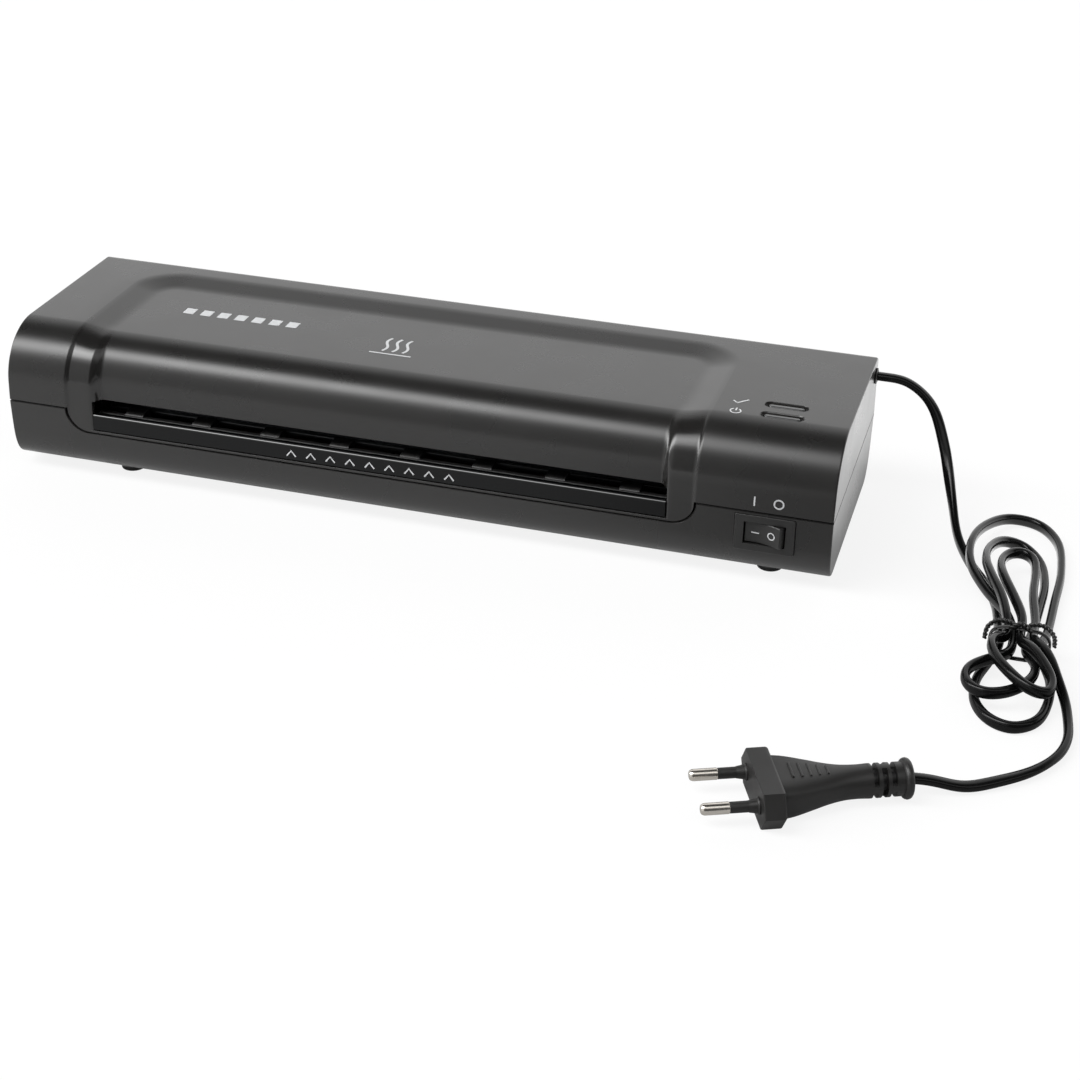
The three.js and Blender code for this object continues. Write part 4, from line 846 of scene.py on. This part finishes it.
def flat_mark(sides):
    """A thin printed shape between the two sides of a stroke, as (a, b, height) in its own plane."""
    left, right = sides
    points = [(a, b, height) for height in (0.01, PRINT_THICKNESS) for a, b in left + right]
    count, layer = len(left), 2 * len(left)
    faces = []
    for i in range(count - 1):
        j, k = i + 1, count + i
        faces += [(k, k + 1, j, i), (i + layer, j + layer, k + 1 + layer, k + layer)]
        faces += [(i, j, j + layer, i + layer), (k + 1, k, k + layer, k + 1 + layer)]
    for i in (0, count - 1):
        faces.append((i, count + i, count + i + layer, i + layer))
    return solid(points, faces)


def lay(strokes, name, position, body="chassis"):
    """Prints strokes on a surface: position turns (a, b, height) in mm into a place in mm."""
    marks = [flat_mark(sides) for sides in strokes]
    for mark in marks:
        for vert in mark.data.vertices:
            vert.co = Vector(position(*(vert.co / MM))) * MM
    finish_piece(gather(marks), name, "print", body=body)


def on_top(x, y, height):
    return x, y, top_z(y) + height


def on_panel(x, y, height):
    return on_top(x, y, height - RECESS_DEPTH)


def on_front_wall(x, z, height):
    lean = (HALF_DEPTH + FRONT_WALL_TOP[0]) / (FRONT_WALL_TOP[1] - PARTING_Z)
    return x, -HALF_DEPTH + lean * (z - PARTING_Z) - height, z


def on_strip(x, z, height):
    return x, TRIM_LOW[1] - height, z


def print_marks():
    lines = [[(-110.5 + 7.6 * i, -1.0), (-110.5 + 7.6 * i, 4.6)] for i in range(7)]
    lay([stroke(line, 4.6) for line in lines], "mark_bars", on_panel)

    waves = [stroke([(-26, -13.6), (-8.5, -13.6)], 0.9)]
    for i in range(3):
        ys = np.linspace(-11, 2, 25)
        xs = -21.5 + 4.3 * i + np.sin((ys + 11) / 13 * 2 * math.pi)
        waves.append(stroke(list(zip(xs, ys)), 1.1))
    lay(waves, "mark_heat", on_panel)

    tick = stroke([(122.6, -16.2), (124.4, -18.2), (128.2, -14.2)], 0.75)
    power = [ring_mark((125.3, -25.6), 2.0, 0.6, 120, 420), stroke([(125.3, -25.2), (125.3, -22.8)], 0.6)]
    lay([tick, *power], "mark_indicators", on_top)

    x = switch_centre()[0]
    on_off = stroke([(x - 4.6, 29.7), (x - 4.6, 33.5)], 0.62), ring_mark((x + 4.6, 31.6), 1.75, 0.58)
    lay(on_off, "mark_switch", on_front_wall)

    tips = [SLOT_X + (i - 4) * 8.2 for i in range(9)]
    chevrons = [stroke([(x - 1.9, 20.4), (x, 22.8), (x + 1.9, 20.4)], 0.62) for x in tips]
    lay(chevrons, "mark_feed", on_strip)


# ---------------------------------------------------------------- feet and screws
def feet_and_screws():
    for where in FEET:
        profile = [(0, 0.7), (5.0, 0.7), (5.2, 0.5)] + arc((4.7, TABLE_Z + 0.3), 0.3, 0, -90, 5)
        profile += [(3.6, TABLE_Z), (3.4, TABLE_Z + 0.35), (0, TABLE_Z + 0.35)]
        foot = upright(profile, 48, *centre_of("foot_" + where)[:2])
        finish_piece(foot, "rubber_foot_" + where, "foot_rubber", ["foot_" + where])

        node = "case_screw_" + where
        x, y, _ = centre_of(node)
        start, end = (corner[2] for corner in box_mm(node))
        head = [(0, 0), (2.0, 0.05), (2.6, 0.5), (2.9, 1.3), (2.9, 2.2), (1.5, 2.2)]
        profile = [(r, start + z) for r, z in head] + thread(1.5, start + 5, end - 2)
        profile += [(1.5, end - 1.6), (0, end)]
        screw = upright(profile, 24, x, y)
        for a, b in ((1.6, 0.35), (0.35, 1.6)):
            cut(screw, block((x - a, y - b, start - 1), (x + a, y + b, start + 1.1)))
        finish_piece(screw, "screw_" + where, "steel", [node], angle=40)


def thread(radius, start, end, pitch=1.2):
    """The ridges of a screw thread as a turned profile."""
    count = int((end - start) / pitch)
    ridge = [(0.0, 0.0), (-0.3, 0.35), (-0.3, 0.65)]
    return [(radius + inset, start + (i + along) * pitch) for i in range(count) for inset, along in ridge]


# ---------------------------------------------------------------- cord, tie and plug
CORD_WIDTH, CORD_THICKNESS = 4.4, 3.3  # a flat cord with two cores
HANK = (241.5, -72.0)  # where the tie holds the strands


def cord_line():
    """The middle of the CAD cord, ring by ring from the case to the plug, in mm."""
    mesh = bmesh.new()
    mesh.from_mesh(frame["nodes"]["power_cord"].data)
    bmesh.ops.remove_doubles(mesh, verts=mesh.verts, dist=0.001 * MM)
    start = min(mesh.verts, key=lambda v: (v.co - Vector((box_mm("cord_grommet")[0] * MM))).length)
    start_x = min(v.co.x for v in mesh.verts if (v.co - start.co).length < 30 * MM)
    ring = [v for v in mesh.verts if abs(v.co.x - start_x) < 0.02 * MM and (v.co - start.co).length < 30 * MM]
    seen, centres = set(ring), []
    while ring:
        centres.append(np.mean([np.array(v.co) for v in ring], axis=0) / MM)
        after = {e.other_vert(v) for v in ring for e in v.link_edges} - seen
        seen |= after
        ring = list(after)
    mesh.free()
    return np.array(centres)


def resample(points, spacing):
    """The same line with evenly spaced points, rounded a little."""
    steps = np.linalg.norm(np.diff(points, axis=0), axis=1)
    length = np.concatenate([[0], np.cumsum(steps)])
    at = np.linspace(0, length[-1], int(length[-1] / spacing) + 1)
    line = np.stack([np.interp(at, length, points[:, i]) for i in range(3)], axis=1)
    for _ in range(6):
        line[1:-1] = line[1:-1] * 0.5 + (line[:-2] + line[2:]) * 0.25
    return line


def cord_section():
    """The flat cord's outline: two round cores with a shallow valley between them."""
    angles = full_turn(28)
    wide = (CORD_WIDTH / 2) * np.cos(angles)
    valley = 1 - 0.035 * np.exp(-((wide / 0.5) ** 2))
    return np.stack([wide, CORD_THICKNESS / 2 * rounded_power(np.sin(angles), 0.75) * valley], axis=1)


def power_cord():
    """The flat cord along the CAD cord's line. It lies flat at both ends and stands on edge between them."""
    spacing = 1.1
    line = resample(cord_line(), spacing)
    total = len(line) * spacing
    travelled = np.linspace(0, 1, len(line)) * total
    on_edge = np.clip((travelled - 45) / 50, 0, 1) * np.clip((total - travelled - 25) / 60, 0, 1)
    on_edge = on_edge * on_edge * (3 - 2 * on_edge)  # how far the cord is turned onto its edge
    section = cord_section()
    rings = []
    side = None
    for here, forward, share in zip(line, directions(line), on_edge):
        level = np.cross([0, 0, 1.0], forward)
        level /= max(np.linalg.norm(level), 1e-6)
        if side is not None and level @ side < 0:
            level = -level
        side = level
        rise = np.cross(forward, level)
        rise *= np.sign(rise[2]) or 1
        wide = level * (1 - share) + rise * share
        wide -= forward * (wide @ forward)
        wide /= np.linalg.norm(wide)
        thin = np.cross(forward, wide)
        rings.append(here + section[:, :1] * wide + section[:, 1:] * thin)
    cord = loft(rings)
    finish_piece(cord, "flat_cord", "cord_pvc", ["power_cord"], angle=60)


def grommet():
    """A small bush with a flange on each side of the case's wall."""
    low, high = box_mm("cord_grommet")
    _, y, z = centre_of("cord_grommet")
    radius, inner_radius, wall_x = GROMMET_RADIUS, GROMMET_RADIUS + 1.2, HALF_LENGTH - WALL - GAP
    profile = [(0, low[0]), (inner_radius, low[0]), (inner_radius, wall_x), (radius, wall_x)]
    profile += [(radius, HALF_LENGTH + 0.05), (radius + 0.35, HALF_LENGTH + 0.05)]
    profile += arc((radius + 0.1, HALF_LENGTH + 0.45), 0.35, -30, 90, 6)
    profile += [(2.6, high[0] - 0.3), (2.3, high[0] - 0.5), (0, high[0] - 0.5)]
    body = along_x(profile, 40, y, z)
    finish_piece(body, "cord_bush", "plug_pvc", ["cord_grommet"])


def tube(line, radius, sides=10):
    """A round wire along a line of points, narrowed at its ends."""
    line = np.array(line, float)
    along = directions(line)
    across = np.cross(along[0], [0.3, 0.2, 1.0])
    rings = []
    for i, (here, forward) in enumerate(zip(line, along)):
        across = across - forward * (across @ forward)
        across /= np.linalg.norm(across)
        third = np.cross(forward, across)
        size = radius * (0.6 if i in (0, len(line) - 1) else 1)
        rings.append([here + size * (math.cos(a) * across + math.sin(a) * third) for a in full_turn(sides)])
    return loft(rings)


def smooth_line(points, steps):
    """A Catmull-Rom curve through points."""
    points = [np.array(p, float) for p in points]
    padded = [2 * points[0] - points[1]] + points + [2 * points[-1] - points[-2]]
    out = []
    for a, b, c, d in zip(padded, padded[1:], padded[2:], padded[3:]):
        for t in np.linspace(0, 1, steps, endpoint=False):
            curve = (2 * a - 5 * b + 4 * c - d) * t**2 + (3 * b - a - 3 * c + d) * t**3
            out.append(0.5 * (2 * b + (c - a) * t + curve))
    out.append(points[-1])
    return np.array(out)


def twisted(line, offset, turns, radius):
    """Two thin wires twisted round a line."""
    wires = []
    for phase in (0, math.pi):
        points = []
        for i, (here, forward) in enumerate(zip(line, directions(line))):
            angle = phase + turns * 2 * math.pi * i / (len(line) - 1)
            first = np.cross(forward, [0, 0, 1.0])
            first /= np.linalg.norm(first)
            second = np.cross(forward, first)
            points.append(here + offset * (math.cos(angle) * first + math.sin(angle) * second))
        wires.append(tube(points, radius, 8))
    return wires


def cord_tie():
    """A wire tie: a band round the strands, closed by twisting its ends into two short tails."""
    half_width, half_height, wire_radius = 10.6, 5.6, 0.8
    centre = np.array([*HANK, TABLE_Z + wire_radius + half_height])
    rings = []
    for angle in full_turn(60):
        offset = np.array([half_width * rounded_power(math.cos(angle), 0.6), 1.2 * math.sin(angle),
                           half_height * rounded_power(math.sin(angle), 0.6)])
        out = offset * (1, 0, 1) / math.hypot(offset[0], offset[2])
        middle = centre + offset
        rings.append([middle + 0.55 * math.cos(t) * out + (0, 1.15 * math.sin(t), 0) for t in full_turn(12)])
    band = loft(rings, closed=True)
    top = centre + (0, 0, half_height)
    left = [(-0.5, 0.8, 0.2), (-4, 1.5, 1.8), (-8.6, 0.8, 2.1), (-11.6, -2.5, 0.9), (-12.1, -6.8, -1.5)]
    right = [(0.5, 0.8, 0.2), (4, 2.5, 1.6), (8.6, 2.2, 1.6), (11.7, -1.6, 0.5), (12.3, -5.8, -1.3)]
    tails = [w for end in (left, right) for w in twisted(smooth_line(top + end, 16), 0.42, 6, 0.5)]
    knot = [(-4, -0.6, 0.4), (0, 1.2, 1.9), (4, -0.8, 0.5)]
    tails += twisted(smooth_line(top + knot, 16), 0.5, 3, 0.55)
    finish_piece(gather([band] + tails), "wire_tie", "tie_plastic", ["cord_tie"], angle=60)


def plug_placement():
    """The plug's own axes in the frame: X runs out of its face along the pins."""
    pins = [centre_of("plug_pin_left"), centre_of("plug_pin_right")]
    across = pins[0] - pins[1]
    out = np.array([across[1], -across[0], 0])
    out /= np.linalg.norm(out)
    middle = (pins[0] + pins[1]) / 2
    turn = math.atan2(out[1], out[0])
    face = middle - out * (19 - 4) / 2  # the pins run from 4 mm behind the face to 19 mm before it
    spacing = np.linalg.norm(across)
    return Matrix.Translation(face) @ Matrix.Rotation(turn, 4, "Z"), spacing


def oval(x, width, height, power):
    """An oval across the plug's axis. The lower the power, the squarer it is."""
    angles = full_turn(40)
    across, up = rounded_power(np.cos(angles), power), rounded_power(np.sin(angles), power)
    return place(np.stack([across * width / 2, up * height / 2], axis=1), 0, x)


def plug_handle():
    """The handle, from a flat oval at the flange to a round neck, as (x, width, height)."""
    stations = [(-38, 11.4, 11.2), (-34, 11.2, 10.8), (-29, 12.0, 10.6), (-24, 14.6, 11.0), (-18, 18.6, 12.0)]
    stations += [(-12, 22.4, 12.6), (-6, 24.6, 12.8), (-4, 24.8, 12.8)]
    sections = smooth_line(stations, 4)
    powers = np.interp(sections[:, 0], (-34, -10), (0.95, 0.5))
    return loft([oval(*section, power) for section, power in zip(sections, powers)])


def plug_flange():
    hexagon = np.array([(-17.6, 0), (-13, -6.8), (13, -6.8), (17.6, 0), (13, 6.8), (-13, 6.8)])
    edges = (-7.4, 0.955), (-7.0, 0.99), (-6.5, 1.0), (-0.5, 1.0), (-0.12, 0.985), (0, 0.96)
    return loft([place(hexagon * size, 0, x) for x, size in edges])


def neck_slots():
    """Slots that make the neck bend, in pairs from above and below and then from both sides."""
    slots = []
    start, end = 1.2, 9
    for x, sideways in ((-40.4, False), (-43.4, True), (-46.4, False)):
        for low, high in ((start, end), (-end, -start)):
            span = ((low, -end), (high, end)) if sideways else ((-end, low), (end, high))
            slots.append(block((x, *span[0]), (x + 1.8, *span[1]), 0.2))
    return slots


def plug():
    placement, spacing = plug_placement()
    in_frame = Matrix.Translation(placement.translation * MM) @ placement.to_3x3().to_4x4()
    pins = ("plug_pin_left", spacing / 2), ("plug_pin_right", -spacing / 2)
    neck = along_x([(0, -37.5), (5.7, -37.5), (5.7, -41), (5.6, -50.2), (0, -50.2)])
    rim = arc((5.6, -50.5), (1.25, 1.45), 84.3, -84.3, 9)
    collar = along_x([(0, -49.0), (5.6, -49.0)] + rim + [(4.6, -52), (0, -52)])
    ridges = (-12, 4.0, 6.75), (-15, 3.8, 6.55), (-18, 3.4, 6.3), (-21, 2.8, 6.0), (-24, 2.2, 5.8)
    ridges = [block((x - 0.4, -reach, 0), (x + 0.4, reach, top), 0.25) for x, reach, top in ridges]
    sleeve = [(0, -1), (2.9, -1), (2.9, 0.4), (2.45, 0.8), (2.0, 3.4), (1.9, 3.6), (1.88, 9.4)]
    sleeve += [(1.8, 9.6), (0, 9.6)]
    sleeves = [along_x(sleeve, 32, y) for _, y in pins]
    body = join(plug_handle(), plug_flange(), neck, collar, *ridges, *sleeves)
    body = cut(body, *neck_slots())
    core = along_x(rod(3.4, -50, -37), 24)
    bores = [along_x(rod(1.5, -5, 20), 24, y) for _, y in pins]
    cord_hole = along_x(rod(2.6, -60, -47), 24)
    body = cut(join(body, core), cord_hole, *bores)
    body.data.transform(in_frame)
    finish_piece(body, "moulded_plug", "plug_pvc", ["plug_body"], angle=34)
    for name, y in pins:
        profile = [(0, -4), (1.2, -4), (1.2, 9.7), (1.85, 9.7), (2.0, 9.9), (2.0, 17.2)]
        profile += arc((0.9, 17.4), (1.1, 1.6), 0, 90, 8)[1:] + [(0, 19)]
        pin = along_x(profile, 40, y)
        pin.data.transform(in_frame)
        finish_piece(pin, name + "_turned", "pin_nickel", [name], angle=40)


# ---------------------------------------------------------------- springs, and CAD nodes that stay
def pressure_springs():
    """The coil springs over the upper bushes."""
    wire_radius, turns = 0.4, 3.5
    for node in ("pressure_spring_left", "pressure_spring_right"):
        low, high = box_mm(node)
        x, y, _ = centre_of(node)
        radius = (high[0] - low[0]) / 2 - wire_radius
        heights = np.linspace(low[2] + wire_radius, high[2] - wire_radius, int(turns * 24))
        around = arc((x, y), radius, 0, turns * 360, len(heights) - 1)
        spring = tube([(*at, z) for at, z in zip(around, heights)], wire_radius, 12)
        finish_piece(spring, node + "_coil", "steel", [node], angle=60)
        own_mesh(spring)


def soften_group():
    """A modifier that shades round faces smooth and keeps real corners sharp."""
    tree = bpy.data.node_groups.new("soften", "GeometryNodeTree")
    tree.interface.new_socket("Geometry", in_out="INPUT", socket_type="NodeSocketGeometry")
    tree.interface.new_socket("Geometry", in_out="OUTPUT", socket_type="NodeSocketGeometry")
    nodes = Nodes(tree)
    angle = nodes.add("GeometryNodeInputMeshEdgeAngle").outputs[0]
    inputs = {0: angle, 1: math.radians(35)}
    sharp = nodes.add("FunctionNodeCompare", inputs, data_type="FLOAT", operation="GREATER_THAN")
    source = nodes.add("NodeGroupInput").outputs[0]
    faces = nodes.add("GeometryNodeSetShadeSmooth", {"Geometry": source}, domain="FACE")
    inputs = {"Geometry": faces.outputs[0], "Selection": sharp.outputs[0], "Shade Smooth": False}
    edges = nodes.add("GeometryNodeSetShadeSmooth", inputs, domain="EDGE")
    nodes.add("NodeGroupOutput", {0: edges.outputs[0]})
    return tree


def keep_nodes():
    """The CAD nodes that stay get a material, small edge bevels and smooth shading on round faces."""
    soften = soften_group()
    for name, obj in frame["nodes"].items():
        if obj.hide_render:
            continue
        obj.data.materials.clear()
        obj.data.materials.append(MATERIALS[slot_of(name)])
        weld = obj.modifiers.new("weld", "WELD")
        weld.merge_threshold = 0.001 * MM
        bevel = obj.modifiers.new("edges", "BEVEL")
        bevel.width, bevel.segments, bevel.limit_method = 0.12 * MM, 2, "ANGLE"
        bevel.angle_limit = math.radians(50)
        obj.modifiers.new("soften", "NODES").node_group = soften


def slot_of(node):
    """The material of a CAD node that stays, by the first word that its name holds."""
    words = {
        "gear": "nylon", "bush": "nylon", "pinion": "nylon", "shaft": "steel", "roller": "roller_silicone",
        "frame": "steel", "spring": "steel", "screw": "steel", "post": "steel", "plate": "aluminium",
        "element": "ceramic", "guide": "guide_plastic", "thermostat": "guide_plastic", "fuse": "pin_nickel",
        "motor": "steel", "board": "circuit_board", "led": "indicator_lens", "lens": "indicator_lens",
    }
    return next((slot for word, slot in words.items() if word in node), "switch_plastic")


# ---------------------------------------------------------------- floor, light and camera
def floor():
    """A white floor that keeps only a trace of the shadows. To mirrored rays it glows brighter beside the
    right end, a painted light that the end face reflects, and dimmer in front of the right half, a painted
    shade that the base's front reflects.
    """
    bpy.ops.mesh.primitive_plane_add(size=8, location=(0, 0, TABLE_Z * MM))
    plane = bpy.context.object
    plane.name = "floor"
    material, nodes, place_node = new_material("floor")
    shader = nodes.paint({"Base Color": shade(0.9), "Roughness": 0.7, "Specular IOR Level": 0.1})
    seen = nodes.add("ShaderNodeLightPath").outputs["Is Camera Ray"]
    mirrored = nodes.minus(1.0, seen)
    at = nodes.axes(place_node)
    # Painted light: beside and card mark the floor beside the right end, which glows brighter to mirrored
    # rays.
    beside = nodes.smooth_range(at[0], HALF_LENGTH * MM, (HALF_LENGTH + 20) * MM)
    card = nodes.times(beside, nodes.smooth_range(at[1], -30 * MM, 10 * MM))
    # Painted shade: before and dim mark the floor in front of the right half, which glows dimmer to mirrored
    # rays.
    before = nodes.smooth_range(at[1], -80 * MM, -45 * MM, 1.0, 0.0)
    dim = nodes.times(nodes.smooth_range(at[0], 0, 150 * MM), before)
    strength = nodes.minus(nodes.smooth_range(card, 0.0, 1.0, 1.0, 2.3), nodes.times(dim, 0.75))
    mirrored_strength = nodes.math("ADD", nodes.times(nodes.minus(strength, 1.0), mirrored), 1.0)
    glow = nodes.add("ShaderNodeEmission", {"Color": shade(1.0), "Strength": mirrored_strength})
    share = nodes.times(nodes.math("MAXIMUM", card, dim), mirrored, 0.32)
    glowing = nodes.math("ADD", nodes.smooth_range(seen, 0.0, 1.0, 0.35, 0.86), share)
    mix = nodes.add("ShaderNodeMixShader", {0: glowing, 1: shader.outputs[0], 2: glow.outputs[0]})
    nodes.feed(material.node_tree.nodes["Material Output"].inputs, {"Surface": mix.outputs[0]})
    plane.data.materials.append(material)


# How bright the world is by pitch, in degrees: 0 is the horizon behind the machine, 90 is overhead and 180 is
# the horizon behind the camera. The bright stretch past 100 is the softbox that the front curve mirrors.
WORLD_LEVELS = [
    (0, 2.0), (18, 1.87), (30, 1.4), (46, 1.15), (57, 0.3), (66, 0.06), (97, 0.06), (105, 10.0), (112, 15.0),
    (120, 11.5), (129, 2.6), (138, 1.0), (180, 0.85),
]


def world():
    """A world that is white to the camera and holds the light panels that the case reflects."""
    sky = bpy.data.worlds.new("studio")
    bpy.context.scene.world = sky
    sky.use_nodes = True
    sky.node_tree.nodes.clear()
    nodes = Nodes(sky.node_tree)
    direction = nodes.axes(nodes.add("ShaderNodeTexCoord").outputs["Generated"])
    pitch = nodes.math("DIVIDE", nodes.math("ARCTAN2", direction[2], direction[1]), math.pi)
    ramp = nodes.add("ShaderNodeValToRGB", {0: pitch})
    elements = ramp.color_ramp.elements
    ramp.color_ramp.interpolation = "EASE"
    while len(elements) < len(WORLD_LEVELS):
        elements.new(0.5)
    strongest = max(level for _, level in WORLD_LEVELS)
    for element, (angle, _) in zip(elements, WORLD_LEVELS):
        element.position = angle / 180
    for element, (_, level) in zip(elements, WORLD_LEVELS):
        element.color = shade(level / strongest)
    overhead = nodes.smooth_range(pitch, 97 / 180, 103 / 180)
    to_left = nodes.smooth_range(direction[0], -0.38, 0.0, 1.0, 0.12)
    panel = nodes.math("ADD", nodes.times(overhead, to_left), nodes.minus(1.0, overhead))
    camera_ray = nodes.add("ShaderNodeLightPath").outputs["Is Camera Ray"]
    hidden = nodes.times(ramp.outputs[0], strongest, panel, nodes.minus(1.0, camera_ray))
    background = nodes.add("ShaderNodeBackground", {"Strength": nodes.math("ADD", hidden, camera_ray)})
    nodes.add("ShaderNodeOutputWorld", {"Surface": background.outputs[0]})
    bpy.context.scene.view_settings.view_transform = "Standard"


def camera():
    azimuth, elevation, roll = np.radians([16.35, 29.15, 0.86])
    level = math.cos(elevation)
    back = np.array([math.sin(azimuth) * level, -math.cos(azimuth) * level, math.sin(elevation)])
    right = np.cross(-back, [0, 0, 1.0])
    right /= np.linalg.norm(right)
    up = np.cross(right, -back)
    turned_right = math.cos(roll) * right + math.sin(roll) * up
    turned_up = -math.sin(roll) * right + math.cos(roll) * up
    data = bpy.data.cameras.new("camera")
    data.lens, data.sensor_width = 71.733, 36
    data.shift_x, data.shift_y = 0.0198, -0.0034
    obj = bpy.data.objects.new("camera", data)
    basis = Matrix([turned_right, turned_up, back]).transposed().to_4x4()
    obj.matrix_world = Matrix.Translation((0.2535, -0.7504, 0.4081)) @ basis
    bpy.context.scene.collection.objects.link(obj)
    bpy.context.scene.camera = obj


# ---------------------------------------------------------------- the laminator
top_cover()
base_case()
front_trim()
switch_bezel()
rocker()
window_lenses()
infeed_guide()
print_marks()
feet_and_screws()
pressure_springs()
power_cord()
grommet()
cord_tie()
plug()
keep_nodes()
floor()
world()
camera()

bpy.context.view_layer.update()
